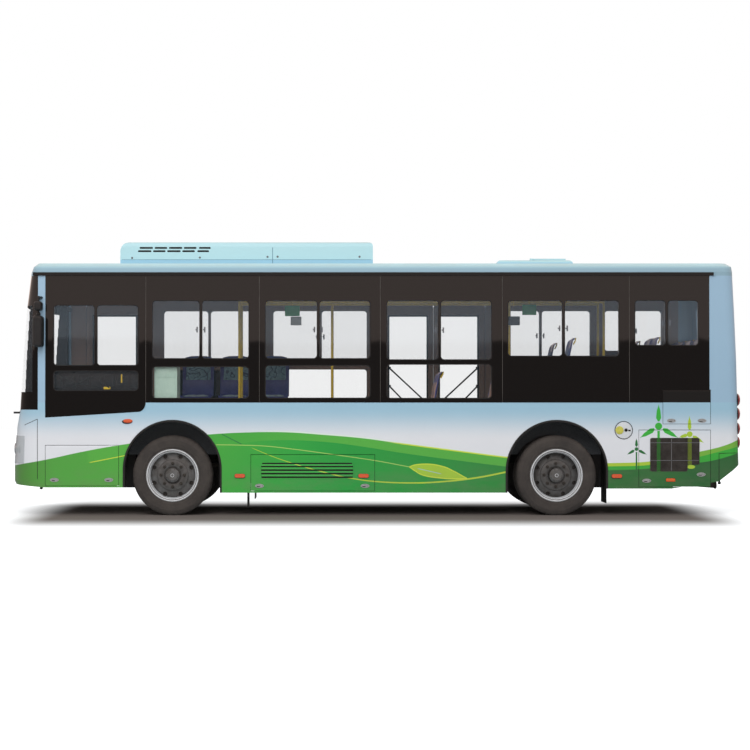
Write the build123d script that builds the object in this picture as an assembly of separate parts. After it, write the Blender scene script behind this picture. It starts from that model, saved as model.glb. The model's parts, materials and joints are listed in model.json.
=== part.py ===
from build123d import *
import math
import os

os.makedirs("parts", exist_ok=True)

# City bus in millimetres: nose towards -X, driver's side towards -Y,
# doors on +Y, standing on its wheels at z = 0.

# Overall sizes
length = 8690.0
width = 2450.0
roof_z = 2972.0
ac_high = 284.0
total_z = roof_z + ac_high
lamp_proud = 22.0
nose_x = -length / 2
tail_x = length / 2 - lamp_proud
half_width = width / 2

# Body shell
wall_t = 50.0
glass_t = 8.0
sash_w = 32.0
nose_radius = 5000.0
tail_corner_r = 120.0
corner_back = 445.0
front_seam_back = 410.0
rear_seam_ahead = 255.0
corner_x = nose_x + corner_back
front_seam_x = nose_x + front_seam_back
rear_seam_x = tail_x - rear_seam_ahead
belt_z = 1326.0
gutter_drop = 152.0
gutter_z = roof_z - gutter_drop
gutter_proud = 14.0
gutter_high = 40.0
screen_drop = 83.0
screen_z = belt_z - screen_drop
seat_gap = 0.3
overrun = 400.0

# Skirt bottom heights and where they change
nose_under_z = 400.0
front_skirt_z = 329.0
mid_skirt_z = 267.0
rear_skirt_z = 315.0
tail_rise_ahead = 811.0
tail_rise_x = tail_x - tail_rise_ahead
tail_step_z = 85.0
tail_under_z = 600.0
nose_sweep = 500.0

# Doors along the length; each axle follows the post of the door ahead of it
front_door_shares = (0.07319, 0.15834)
mid_door_shares = (0.51807, 0.67491)
front_door_x0, front_door_x1 = [nose_x + share * length for share in front_door_shares]
mid_door_x0, mid_door_x1 = [nose_x + share * length for share in mid_door_shares]
front_post_w = 32.0
mid_post_w = 42.0

# Axles and wheels
arch_front_r = 582.0
arch_rear_r = 602.0
front_axle_x = front_door_x1 + front_post_w + arch_front_r
rear_axle_x = mid_door_x1 + mid_post_w + arch_rear_r
tyre_r = 470.0
tyre_w = 255.0
rim_r = 300.0
rim_lip = 14.0
rim_wall = 16.0
disc_t = 14.0
wheel_z = tyre_r
wheel_inset = 145.0
wheel_track_y = half_width - wheel_inset
twin_pitch = 285.0
arch_top_z = 1124.0
arch_trim_w = 22.0
arch_trim_d = 120.0
stub_r = 35.0
axle_tube_r = 70.0
drum_r = 205.0
drum_w = 85.0
pin_gap = 0.3
move_gap = 5.0

# Kingpins and steering
kingpin_inset = 150.0
kingpin_y = wheel_track_y - kingpin_inset
kingpin_r = 25.0
beam_h = 100.0
beam_w = 90.0
lug_h = 55.0
lug_r = 45.0

# Doors
door_sill_z = 375.0
door_head_drop = 220.0
door_head_z = gutter_z - door_head_drop
door_t = 36.0
door_inset = 27.0
door_face_y = half_width - door_inset
door_post_r = 10.0
door_post_reach = 40.0
door_frame_w = 62.0
door_glass_rise = 185.0
door_glass_low_z = door_sill_z + door_glass_rise

# Side flaps
flap_t = 28.0
flap_pin_r = 6.0
flap_pin_reach = 30.0

# Floor, steps and wheel boxes
floor_z = 740.0
floor_t = 40.0
platform_z = 1150.0
step_low_z = 345.0
step_mid_z = 545.0
tread_t = 15.0
tread_mid_d = 235.0
leaf_well_d = 715.0
wheel_box_reach = 440.0
wheel_box_y = wheel_track_y - wheel_box_reach
wheel_box_rise = 15.0
wheel_box_top_z = arch_top_z + wheel_box_rise
wheel_box_half = 615.0
mat_half = 190.0
mat_t = 4.0
box_t = 12.0
liner_gap = 0.5

# Chassis
rail_y = 160.0
rail_w = 80.0
rail_h = 100.0
spring_inset = 650.0
spring_y = wheel_track_y - spring_inset
spring_w = 80.0
spring_t = 40.0
spring_len = 1150.0

# Body sections, lowest first. Columns: height as a share of the roof height, front
# setback as a share of the length, side inset as a share of the width, tail setback
# as a share of the length
section_shares = [
    (0.0800, 0.0084, 0.0000, 0.0132),
    (0.1340, 0.0000, 0.0000, 0.0000),
    (0.1970, 0.0000, 0.0000, 0.0000),
    (0.3500, 0.0036, 0.0000, 0.0016),
    (0.4170, 0.0076, 0.0000, 0.0016),
    (0.6190, 0.0115, 0.0012, 0.0033),
    (0.8110, 0.0165, 0.0041, 0.0060),
    (0.9643, 0.0229, 0.0082, 0.0084),
    (0.9860, 0.0257, 0.0204, 0.0090),
    (1.0000, 0.0322, 0.0530, 0.0144),
]

# Side bays of the glass band, front first. Columns: bay start and end, clear pane
# start, divider and end, as shares of the length from the nose; then pane top, pane
# bottom, lower pane top and bottom as shares from belt to gutter (0 for no lower pane)
left_bay_shares = [
    (0.0570, 0.1931, 0.0686, 0.1256, 0.1827, 0.7656, 0.2941, 0.2489, 0.0964),
    (0.1931, 0.3467, 0.2024, 0.2676, 0.3323, 0.8014, 0.3478, 0.2822, 0.0361),
    (0.3467, 0.5104, 0.3551, 0.4264, 0.4964, 0.8033, 0.3478, 0.2911, 0.0375),
    (0.5104, 0.6756, 0.5193, 0.5905, 0.6606, 0.8033, 0.3386, 0.3001, 0.0361),
    (0.6756, 0.8473, 0.6833, 0.7582, 0.8329, 0.8033, 0.3669, 0.0000, 0.0000),
    (0.8473, 0.9557, 0.8550, 0.8977, 0.9403, 0.8033, 0.4518, 0.0000, 0.0000),
]
right_bay_shares = [
    (0.1620, 0.3467, 0.1903, 0.2591, 0.3323, 0.8014, 0.3478, 0.2822, 0.0361),
    (0.3467, 0.5125, 0.3551, 0.4264, 0.4964, 0.8033, 0.3478, 0.2911, 0.0375),
    (0.6810, 0.8473, 0.6870, 0.7582, 0.8329, 0.8033, 0.3669, 0.0000, 0.0000),
    (0.8473, 0.9557, 0.8550, 0.8977, 0.9403, 0.8033, 0.4518, 0.0000, 0.0000),
]

# Side flaps. Columns: name, side (-1 driver's), start and end as shares of the
# length from the nose, bottom and top as shares from the middle skirt's edge to the belt
flap_shares = [
    ("flap_left_front", -1, 0.0570, 0.1568, 0.0734, 0.5297),
    ("flap_left_mid", -1, 0.3350, 0.5031, 0.0173, 0.4251),
    ("flap_left_rear_low", -1, 0.8596, 0.9572, 0.0622, 0.6995),
    ("flap_left_rear_high", -1, 0.8922, 0.9572, 0.7610, 1.1455),
    ("flap_right_mid", 1, 0.3350, 0.4900, 0.0173, 0.4251),
    ("flap_right_rear_low", 1, 0.8596, 0.9572, 0.0622, 0.6995),
]


def block(x0, x1, y0, y1, z0, z1):
    """A box between two corners."""
    middle = ((x0 + x1) / 2, (y0 + y1) / 2, (z0 + z1) / 2)
    return Pos(*middle) * Box(abs(x1 - x0), abs(y1 - y0), abs(z1 - z0))


def rod(start, end, radius):
    """A round bar between two points."""
    start = Vector(*start)
    run = Vector(*end) - start
    return extrude(Plane(origin=start, z_dir=run) * Circle(radius), run.length)


def side_prism(points, y0, y1):
    """An outline in X and Z, extruded from y0 to y1."""
    outline = make_face(Polyline(*[(x, 0, z) for x, z in points], close=True))
    return extrude(Pos(0, y0, 0) * outline, abs(y1 - y0), dir=(0, 1, 0))


def turned(profile, x, side_y, outward):
    """Spin an outline of (radius, offset) pairs round the wheel axis at x."""
    points = [(x, side_y + outward * off, wheel_z + radius) for radius, off in profile]
    face = make_face(Polyline(*points, close=True))
    return revolve(face, Axis((x, 0, wheel_z), (0, 1, 0)), 360)


def along(share):
    """X at a share of the length, counted from the nose."""
    return nose_x + share * length


def band_height(share):
    """Z at a share of the glass band, counted from the belt."""
    return belt_z + share * (gutter_z - belt_z)


def skirt_height(share):
    """Z at a share of the skirt, counted from its middle bottom edge."""
    return mid_skirt_z + share * (belt_z - mid_skirt_z)


def fuse(shapes):
    """Join touching solids into one."""
    first, *rest = shapes
    return first.fuse(*rest) if rest else first


def group(shapes):
    """Keep solids apart in one compound."""
    solids = []
    for shape in shapes:
        solids.extend(shape.solids())
    return Compound(children=solids)


def save(name, shape):
    export_step(shape, f"parts/{name}.step")


# Body shell form

def section_wire(shares, inset, height=None):
    """One level of the body: flat sides, a bowed nose and rounded corners."""
    height_share, front_share, side_share, tail_share = shares
    front = nose_x + front_share * length + inset
    half = half_width - side_share * width - inset
    tail = tail_x - tail_share * length - inset
    bow = nose_radius - inset
    reach = bow + front - corner_x
    small = (bow**2 - half**2 - reach**2) / (2 * (bow - half))
    tail_r = tail_corner_r - inset
    level_z = height_share * roof_z if height is None else height
    centre_y = half - small
    to_corner = Vector(corner_x - front - bow, centre_y).normalized()
    touch = Vector(front + bow, 0) + to_corner * bow
    half_way = (to_corner + Vector(0, 1)).normalized() * small
    bend = Vector(corner_x, centre_y) + half_way
    lobe = tail_r * (1 - math.sqrt(0.5))
    edges = [
        Line((corner_x, half), (tail - tail_r, half)),
        ThreePointArc((tail - tail_r, half), (tail - lobe, half - lobe), (tail, half - tail_r)),
        Line((tail, half - tail_r), (tail, tail_r - half)),
        ThreePointArc((tail, tail_r - half), (tail - lobe, lobe - half), (tail - tail_r, -half)),
        Line((tail - tail_r, -half), (corner_x, -half)),
        ThreePointArc((corner_x, -half), (bend.X, -bend.Y), (touch.X, -touch.Y)),
        ThreePointArc((touch.X, -touch.Y), (front, 0), (touch.X, touch.Y)),
        ThreePointArc((touch.X, touch.Y), (bend.X, bend.Y), (corner_x, half)),
    ]
    return Pos(0, 0, level_z) * Wire(edges)


def body_form(inset):
    """The solid body form, its surface moved in by the inset."""
    if inset == 0:
        wires = [section_wire(shares, 0) for shares in section_shares]
    else:
        wires = [section_wire(shares, inset) for shares in section_shares[:-2]]
        wires.append(section_wire(section_shares[-2], inset, roof_z - inset))
    return Solid.make_loft(wires, ruled=True)


outer = body_form(0)
cavity = body_form(wall_t)
pane_back = body_form(glass_t)

# What is cut away below the skirts, front to tail
under_line = [
    (nose_x - overrun, nose_under_z),
    (nose_x, nose_under_z),
    (nose_x + nose_sweep / 8, (nose_under_z + front_skirt_z) / 2),
    (nose_x + nose_sweep, front_skirt_z),
    (front_axle_x, front_skirt_z),
    (front_axle_x, mid_skirt_z),
    (rear_axle_x, mid_skirt_z),
    (rear_axle_x, rear_skirt_z),
    (tail_rise_x, rear_skirt_z),
    (rear_seam_x, rear_skirt_z + tail_step_z),
    (tail_x, tail_under_z),
    (tail_x + overrun, tail_under_z),
    (tail_x + overrun, -overrun),
    (nose_x - overrun, -overrun),
]
under_cut = side_prism(under_line, -width, width)

shell = (outer - cavity) - under_cut
skin = (outer - pane_back) - under_cut


def zone(x0, x1, z0, z1, side=0):
    """A cutting box over the full width, or over one side."""
    y0 = -width if side <= 0 else 0
    y1 = width if side >= 0 else 0
    return block(x0, x1, y0, y1, z0, z1)


far_front = nose_x - overrun
far_rear = length
low = -overrun
high = total_z + overrun


def arch_cut(x, radius):
    """A wheel arch on both sides: round above, straight below."""
    centre_z = arch_top_z - radius
    hoop = rod((x, -width, centre_z), (x, width, centre_z), radius)
    return hoop + block(x - radius, x + radius, -width, width, low, centre_z)


arches = arch_cut(front_axle_x, arch_front_r) + arch_cut(rear_axle_x, arch_rear_r)


def pane_cutters(bay, side):
    """Openings through the wall behind one bay's clear panes."""
    start, end, x0, divide, x1, top, low_edge, low_top, low_bottom = bay
    low_z, top_z = band_height(low_edge), band_height(top)
    cuts = [
        zone(along(x0), along(divide) - sash_w / 2, low_z, top_z, side),
        zone(along(divide) + sash_w / 2, along(x1), low_z, top_z, side),
    ]
    if low_top:
        cuts.append(zone(along(x0), along(x1), band_height(low_bottom), band_height(low_top), side))
    return cuts


# How far the driver's window drops below the belt at its front, and the part of that
# drop which is left at its rear
driver_drop_share = 0.133
driver_slope_share = 0.6


def bay_zone(bay, side, gap):
    """The box of one glass bay; the driver's reaches below the belt."""
    start, end = along(bay[0]) + gap, along(bay[1]) - gap
    if side < 0 and bay is left_bay_shares[0]:
        sill_front = belt_z * (1 - driver_drop_share) + gap
        sill_rear = belt_z * (1 - driver_drop_share * driver_slope_share) + gap
        outline = [(start, sill_front), (end, sill_rear), (end, gutter_z), (start, gutter_z)]
        return side_prism(outline, -width, 0)
    return zone(start, end, belt_z + gap, gutter_z, side)


# Doors. Columns: name, opening start and end, hinge at the start (1) or end (-1)
mid_split_x = (mid_door_x0 + mid_door_x1) / 2
door_table = [
    ("door_front", front_door_x0, front_door_x1, 1),
    ("door_mid_front", mid_door_x0, mid_split_x, 1),
    ("door_mid_rear", mid_split_x, mid_door_x1, -1),
]
door_openings = [
    zone(front_door_x0, front_door_x1, door_sill_z, door_head_z, 1),
    zone(mid_door_x0, mid_door_x1, door_sill_z, door_head_z, 1),
]
hinge_y = door_face_y - door_t / 2


def door_axis_x(x0, x1, way):
    """X of the turning post, at the jamb side of the leaf."""
    return x0 + move_gap + door_t / 2 if way > 0 else x1 - move_gap - door_t / 2


# Side walls: skirts below the belt and window bands above it

def flap_sizes(row):
    """Corner places and hinge axis of one side flap."""
    name, side, start, end, bottom, top = row
    x0, x1 = along(start), along(end)
    z0, z1 = skirt_height(bottom), skirt_height(top)
    axis_y = side * (half_width - flap_t / 2)
    axis_z = z1 - move_gap - flap_t / 2
    return x0, x1, z0, z1, axis_y, axis_z


def flap_opening(row):
    x0, x1, z0, z1, axis_y, axis_z = flap_sizes(row)
    return zone(x0, x1, z0, z1, row[1])


def flap_pins(row):
    """Two fixed hinge pins, from the opening's ends into the ends of the flap."""
    x0, x1, z0, z1, axis_y, axis_z = flap_sizes(row)
    front_pin = rod((x0, axis_y, axis_z), (x0 + flap_pin_reach, axis_y, axis_z), flap_pin_r)
    rear_pin = rod((x1, axis_y, axis_z), (x1 - flap_pin_reach, axis_y, axis_z), flap_pin_r)
    return [front_pin, rear_pin]


def flap_leaf(row):
    """A flat flap whose round top edge turns on its pins."""
    name, side = row[:2]
    x0, x1, z0, z1, axis_y, axis_z = flap_sizes(row)
    x0, x1, z0 = x0 + move_gap, x1 - move_gap, z0 + move_gap
    outer_y = side * half_width
    plate = block(x0, x1, outer_y - side * flap_t, outer_y, z0, axis_z)
    leaf = plate + rod((x0, axis_y, axis_z), (x1, axis_y, axis_z), flap_t / 2)
    bore_r = flap_pin_r + pin_gap
    bore_reach = flap_pin_reach
    for start, end in ((x0 - move_gap, x0 + bore_reach), (x1 + move_gap, x1 - bore_reach)):
        leaf -= rod((start, axis_y, axis_z), (end, axis_y, axis_z), bore_r)
    return leaf


def side_wall(side, x0, x1, z0, z1, openings, pins):
    """Part of the shell on one side, with its openings cut and pins joined."""
    wall = shell & zone(x0, x1, z0, z1, side)
    wall -= arches
    for opening in openings:
        wall -= opening
    for pin in pins:
        wall += pin
    return wall


bays = {-1: left_bay_shares, 1: right_bay_shares}
side_names = {-1: "left", 1: "right"}

for side, side_name in side_names.items():
    rows = [row for row in flap_shares if row[1] == side]
    flap_cuts = [flap_opening(row) for row in rows]
    low_pins = [pin for row in rows if skirt_height(row[5]) < belt_z for pin in flap_pins(row)]
    high_pins = [pin for row in rows if skirt_height(row[5]) >= belt_z for pin in flap_pins(row)]
    door_cuts = door_openings if side > 0 else []
    recesses = [skin & bay_zone(bay, side, 0) for bay in bays[side]]
    panes = [cut for bay in bays[side] for cut in pane_cutters(bay, side)]

    skirt_pins = list(low_pins)
    band_pins = list(high_pins)
    if side > 0:
        for name, x0, x1, way in door_table:
            post_x = door_axis_x(x0, x1, way)
            foot = (post_x, hinge_y, door_sill_z - door_post_reach)
            foot_end = (post_x, hinge_y, door_sill_z + door_post_reach)
            skirt_pins.append(rod(foot, foot_end, door_post_r))
            head = (post_x, hinge_y, door_head_z + door_post_reach)
            head_end = (post_x, hinge_y, door_head_z - door_post_reach)
            band_pins.append(rod(head, head_end, door_post_r))

    skirt_cuts = flap_cuts + door_cuts
    if side < 0:
        skirt_cuts = skirt_cuts + [recesses[0]]
    skirt = side_wall(side, front_seam_x, rear_seam_x, low, belt_z, skirt_cuts, skirt_pins)
    save(f"skirt_{side_name}", skirt)

    band_cuts = flap_cuts + door_cuts + recesses + panes
    band = side_wall(side, front_seam_x, rear_seam_x, belt_z, gutter_z, band_cuts, band_pins)
    save(f"band_{side_name}", band)

    sheets = []
    for bay in bays[side]:
        sheet = skin & bay_zone(bay, side, seat_gap)
        for cut in flap_cuts:
            sheet -= cut
        sheets.append(sheet)
    save(f"glass_{side_name}", group(sheets))

for row in flap_shares:
    save(row[0], flap_leaf(row))

# Front: panel below, windscreen above
front_panel = shell & zone(far_front, front_seam_x, low, screen_z)
save("front_panel", front_panel)
windscreen = skin & zone(far_front, front_seam_x - seat_gap, screen_z + seat_gap, gutter_z - seat_gap)
save("windshield", windscreen)

# Roof with its drip rails and the front brow
roof = shell & zone(far_front, far_rear, gutter_z, high)
gutter_y = half_width - wall_t / 2
for side in side_names:
    y_in = side * gutter_y
    y_out = side * (half_width - wall_t / 2 + gutter_proud + gutter_proud)
    rail = block(front_seam_x - wall_t, rear_seam_x - wall_t, y_in, y_out, gutter_z, gutter_z + gutter_high)
    roof += rail
save("roof", roof)

# Rear: panel with window and engine lid, bumper below
bumper_top_z = 735.0
lid_inset = 425.0
lid_half = half_width - lid_inset
lid_rise = 124.0
lid_top_z = belt_z + lid_rise
lid_low_gap = 35.0
lid_low_z = bumper_top_z + lid_low_gap
lid_x = tail_x - lamp_proud
rear_window_inset = 365.0
rear_window_half = half_width - rear_window_inset
rear_window_rise = 354.0
rear_window_low_z = belt_z + rear_window_rise
rear_window_drop = 300.0
rear_window_top_z = gutter_z - rear_window_drop
window_rebate = 45.0

rear_panel = shell & zone(rear_seam_x, far_rear, bumper_top_z, gutter_z)
rear_window_hole = block(rear_seam_x, far_rear, -rear_window_half, rear_window_half,
                         rear_window_low_z, rear_window_top_z)
outer_half = rear_window_half + window_rebate
rear_rebate = block(rear_seam_x, far_rear, -outer_half, outer_half,
                    rear_window_low_z - window_rebate, rear_window_top_z + window_rebate)
rear_skin = skin & rear_rebate
rear_panel -= rear_window_hole
rear_panel -= rear_skin
lid_hole = block(rear_seam_x + wall_t, far_rear, -lid_half, lid_half, lid_low_z, lid_top_z)
rear_panel -= lid_hole
lid_axis_z = lid_top_z - move_gap - flap_t / 2
lid_axis_x = lid_x - flap_t / 2
for side in side_names:
    wall_end = side * (lid_half + wall_t / 2)
    pin_end = side * (lid_half - flap_pin_reach)
    rear_panel += rod((lid_axis_x, wall_end, lid_axis_z), (lid_axis_x, pin_end, lid_axis_z), flap_pin_r)
save("rear_panel", rear_panel)
rear_pane_half = outer_half - seat_gap
rear_window = skin & block(rear_seam_x, far_rear, -rear_pane_half, rear_pane_half,
                           rear_window_low_z - window_rebate + seat_gap,
                           rear_window_top_z + window_rebate - seat_gap)
save("rear_window", rear_window)
leaf_half = lid_half - move_gap
lid = block(lid_x - flap_t, lid_x, -leaf_half, leaf_half, lid_low_z + move_gap, lid_axis_z)
lid += rod((lid_axis_x, -leaf_half, lid_axis_z), (lid_axis_x, leaf_half, lid_axis_z), flap_t / 2)
for side in side_names:
    start = (lid_axis_x, side * lid_half, lid_axis_z)
    end = (lid_axis_x, side * (lid_half - flap_pin_reach), lid_axis_z)
    lid -= rod(start, end, flap_pin_r + pin_gap)
save("engine_lid", lid)
save("rear_bumper", shell & zone(rear_seam_x, far_rear, low, bumper_top_z - seat_gap))

# Door leaves and their glass
for name, x0, x1, way in door_table:
    post_x = door_axis_x(x0, x1, way)
    free_x = x1 - move_gap if way > 0 else x0 + move_gap
    low_z = door_sill_z + move_gap
    top_z = door_head_z - move_gap
    inner_y = door_face_y - door_t
    leaf = block(post_x, free_x, inner_y, door_face_y, low_z, top_z)
    leaf += rod((post_x, hinge_y, low_z), (post_x, hinge_y, top_z), door_t / 2)
    pane_x0 = min(post_x, free_x) + door_frame_w
    pane_x1 = max(post_x, free_x) - door_frame_w
    pane_top_z = top_z - door_frame_w * 2
    leaf -= block(pane_x0, pane_x1, 0, width, door_glass_low_z, pane_top_z)
    bore_r = door_post_r + pin_gap
    leaf -= rod((post_x, hinge_y, low_z), (post_x, hinge_y, door_sill_z + door_post_reach), bore_r)
    leaf -= rod((post_x, hinge_y, top_z), (post_x, hinge_y, door_head_z - door_post_reach), bore_r)
    save(name, leaf)
    pane = block(pane_x0 + seat_gap, pane_x1 - seat_gap, hinge_y - glass_t / 2, hinge_y + glass_t / 2,
                 door_glass_low_z + seat_gap, pane_top_z - seat_gap)
    save(name + "_glass", pane)

# Floor: boards between the wheel boxes and step wells, an aisle mat, a plinth behind the
# door side's front wheel box, and the raised rear platform
inner_half = half_width - wall_t - liner_gap
deck_front_x = front_seam_x + wall_t
deck_low_z = floor_z - floor_t
platform_x = rear_axle_x + wheel_box_half
deck_rear_x = rear_seam_x - liner_gap
well_low_y = hinge_y - leaf_well_d
well_mid_y = well_low_y - tread_mid_d
well_edge_y = well_mid_y - tread_t
sill_y = door_face_y - door_t
well_spans = [
    (front_door_x0 - tread_t, front_door_x1 + tread_t),
    (mid_door_x0 - tread_t, mid_door_x1 + tread_t),
]
front_box_x0 = front_axle_x - wheel_box_half
front_box_x1 = front_axle_x + wheel_box_half
rear_box = (rear_axle_x - wheel_box_half, platform_x)
box_spans = {
    -1: [(front_box_x0, front_box_x1), rear_box],
    1: [(max(front_box_x0, well_spans[0][1]), front_box_x1), rear_box],
}


def board(x0, x1, y0, y1, z0, z1):
    """A plate that keeps half a seat gap from its neighbours in plan."""
    gap = seat_gap / 2
    return block(x0 + gap, x1 - gap, min(y0, y1) + gap, max(y0, y1) - gap, z0, z1)


def deck_boards(spans, y0, y1):
    """Deck boards in one strip, between the spans that boxes and wells take."""
    edges = [deck_front_x]
    for span in sorted(spans):
        edges.extend(span)
    edges.append(platform_x)
    strips = zip(edges[::2], edges[1::2])
    return [board(x0, x1, y0, y1, deck_low_z, floor_z) for x0, x1 in strips if x1 - x0 > tread_t / 2]


def wheel_box(x0, x1, side):
    """Four plates round the wheels of one side: top, front, rear and inner wall."""
    y_in, y_out = side * wheel_box_y, side * inner_half
    lid_z = wheel_box_top_z - box_t
    wall_top_z = lid_z - seat_gap
    return [
        board(x0, x1, y_in, y_out, lid_z, wheel_box_top_z),
        board(x0, x0 + box_t, y_in, y_out, deck_low_z, wall_top_z),
        board(x1 - box_t, x1, y_in, y_out, deck_low_z, wall_top_z),
        board(x0 + box_t, x1 - box_t, y_in, y_in + side * box_t, deck_low_z, wall_top_z),
    ]


def step_well(x0, x1):
    """Two treads, two risers and two cheeks below one door opening."""
    low_z, mid_z = step_low_z - tread_t, step_mid_z - tread_t
    plates = [
        board(x0, x1, well_low_y - tread_t, sill_y, low_z, step_low_z),
        board(x0, x1, well_low_y - tread_t, well_low_y, step_low_z + seat_gap, mid_z - seat_gap),
        board(x0, x1, well_edge_y, well_low_y, mid_z, step_mid_z),
        board(x0, x1, well_edge_y, well_mid_y, step_mid_z + seat_gap, floor_z),
    ]
    for cheek_x in (x0 - tread_t, x1):
        plates.append(board(cheek_x, cheek_x + tread_t, well_low_y - tread_t, sill_y, low_z, floor_z))
        plates.append(board(cheek_x, cheek_x + tread_t, well_edge_y, well_low_y - tread_t, mid_z, floor_z))
    return plates


floor = [board(deck_front_x, platform_x, -wheel_box_y, well_edge_y, deck_low_z, floor_z)]
floor += deck_boards(well_spans, well_edge_y, wheel_box_y)
floor += deck_boards(box_spans[-1], -inner_half, -wheel_box_y)
floor += deck_boards(well_spans + box_spans[1], wheel_box_y, inner_half)
for side in side_names:
    for x0, x1 in box_spans[side]:
        floor += wheel_box(x0, x1, side)
floor += step_well(front_door_x0, front_door_x1)
floor += step_well(mid_door_x0, mid_door_x1)
plinth_l = 700.0
plinth_x1 = front_box_x1 + plinth_l
plinth_wall_z = wheel_box_top_z - box_t - seat_gap
floor.append(board(front_box_x1, plinth_x1, wheel_box_y, inner_half,
                   wheel_box_top_z - box_t, wheel_box_top_z))
floor.append(board(plinth_x1 - box_t, plinth_x1, wheel_box_y, inner_half, floor_z + seat_gap, plinth_wall_z))
floor.append(board(front_box_x1, plinth_x1 - box_t, wheel_box_y, wheel_box_y + box_t,
                   floor_z + seat_gap, plinth_wall_z))
floor.append(board(platform_x - box_t, platform_x, -wheel_box_y, wheel_box_y, floor_z + seat_gap, platform_z))
floor.append(board(platform_x, deck_rear_x, -inner_half, inner_half, platform_z - floor_t, platform_z))
mat_x0 = front_door_x1
mat_x1 = platform_x - mat_half
floor.append(block(mat_x0, mat_x1, -mat_half, mat_half, floor_z + seat_gap, floor_z + mat_t))
save("floor", group(floor))

# Chassis: two rails under the deck, cross members and leaf springs
rail_top_z = deck_low_z - liner_gap
rail_low_z = rail_top_z - rail_h
rail_front_x = nose_x + nose_sweep
rail_rear_x = rear_seam_x - wall_t * 2
rail_in = rail_y - rail_w / 2
rail_out = rail_y + rail_w / 2
spring_low_z = wheel_z + axle_tube_r + move_gap
outrigger_shares = [0.10, 0.345, 0.46, 0.56, 0.66]
outrigger_w = 60.0
hanger_w = 60.0


def cross_member(x0, x1, y0, y1):
    """A frame member across the rails, in the lengths beside and between them."""
    spans = [(y0, -rail_out - seat_gap), (-rail_in + seat_gap, rail_in - seat_gap), (rail_out + seat_gap, y1)]
    return [block(x0, x1, start, end, rail_low_z, rail_top_z) for start, end in spans if end > start]


frame = []
for side in side_names:
    frame.append(block(rail_front_x, rail_rear_x, side * rail_in, side * rail_out, rail_low_z, rail_top_z))
for share in outrigger_shares:
    frame += cross_member(along(share), along(share) + outrigger_w, hanger_w - inner_half, rail_y)
for axle_x in (front_axle_x, rear_axle_x):
    for end in (-1, 1):
        hanger_x = axle_x + end * (spring_len / 2 - hanger_w / 2)
        hanger_x0, hanger_x1 = hanger_x - hanger_w / 2, hanger_x + hanger_w / 2
        spring_out = spring_y + spring_w / 2
        frame += cross_member(hanger_x0, hanger_x1, -spring_out, spring_out)
        for side in side_names:
            y0, y1 = side * (spring_y - spring_w / 2), side * spring_out
            frame.append(block(hanger_x0, hanger_x1, y0, y1, spring_low_z + spring_t + seat_gap,
                               rail_low_z - seat_gap))
    for side in side_names:
        y0, y1 = side * (spring_y - spring_w / 2), side * (spring_y + spring_w / 2)
        frame.append(block(axle_x - spring_len / 2, axle_x + spring_len / 2, y0, y1,
                           spring_low_z, spring_low_z + spring_t))

# Towing eyes: a hanging post and a level plate with an upright hole at each end
tow_t = 30.0
tow_half = 55.0
tow_hole_r = 22.0
tow_reach = 250.0
tow_low_z = 430.0
tow_hole_back = 60.0
for end_x, way in ((rail_front_x, -1), (rail_rear_x, 1)):
    tie_x0, tie_x1 = sorted((end_x, end_x - way * outrigger_w))
    frame += cross_member(tie_x0, tie_x1, 0, 0)
    post_x = end_x + way * seat_gap
    post_low_z = tow_low_z + tow_t + seat_gap
    frame.append(block(post_x, post_x + way * tow_t, -tow_half, tow_half, post_low_z, rail_top_z))
    tip_x = end_x + way * tow_reach
    plate = block(post_x, tip_x, -tow_half, tow_half, tow_low_z, tow_low_z + tow_t)
    hole_x = tip_x - way * tow_hole_back
    plate -= rod((hole_x, 0, tow_low_z - tow_t), (hole_x, 0, tow_low_z + tow_t * 2), tow_hole_r)
    frame.append(plate)
save("chassis_frame", group(frame))

# Front axle beam with its kingpins
beam_low_z = wheel_z - beam_h / 2
beam_top_z = wheel_z + beam_h / 2
pin_low_z = beam_low_z - move_gap - lug_h
pin_top_z = beam_top_z + move_gap + lug_h
beam = block(front_axle_x - beam_w / 2, front_axle_x + beam_w / 2, -kingpin_y, kingpin_y,
             beam_low_z, beam_top_z)
for side in side_names:
    pin_y = side * kingpin_y
    beam += rod((front_axle_x, pin_y, beam_low_z), (front_axle_x, pin_y, beam_top_z), lug_r)
    beam += rod((front_axle_x, pin_y, pin_low_z), (front_axle_x, pin_y, pin_top_z), kingpin_r)
    pad_y = side * spring_y
    beam += block(front_axle_x - spring_w, front_axle_x + spring_w, pad_y - spring_w / 2,
                  pad_y + spring_w / 2, beam_top_z, spring_low_z)
save("front_axle", beam)

# Knuckles: two lugs round the kingpin, a plate and the stub shaft
plate_in = lug_r + move_gap
plate_out = plate_in + spring_t
stub_end_y = wheel_track_y + tyre_w / 4
for side, side_name in side_names.items():
    pin_y = side * kingpin_y
    plate_y0 = pin_y + side * plate_in
    plate_y1 = pin_y + side * plate_out
    knuckle = block(front_axle_x - lug_r, front_axle_x + lug_r, plate_y0, plate_y1, pin_low_z, pin_top_z)
    for lug_z in (pin_low_z, pin_top_z - lug_h):
        knuckle += rod((front_axle_x, pin_y, lug_z), (front_axle_x, pin_y, lug_z + lug_h), lug_r)
        knuckle += block(front_axle_x - lug_r, front_axle_x + lug_r, pin_y, plate_y0, lug_z, lug_z + lug_h)
    bore_r = kingpin_r + pin_gap
    knuckle -= rod((front_axle_x, pin_y, pin_low_z), (front_axle_x, pin_y, pin_top_z), bore_r)
    stub_end = (front_axle_x, side * stub_end_y, wheel_z)
    knuckle += rod((front_axle_x, plate_y0, wheel_z), stub_end, stub_r)
    save(f"knuckle_{side_name}", knuckle)

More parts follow.
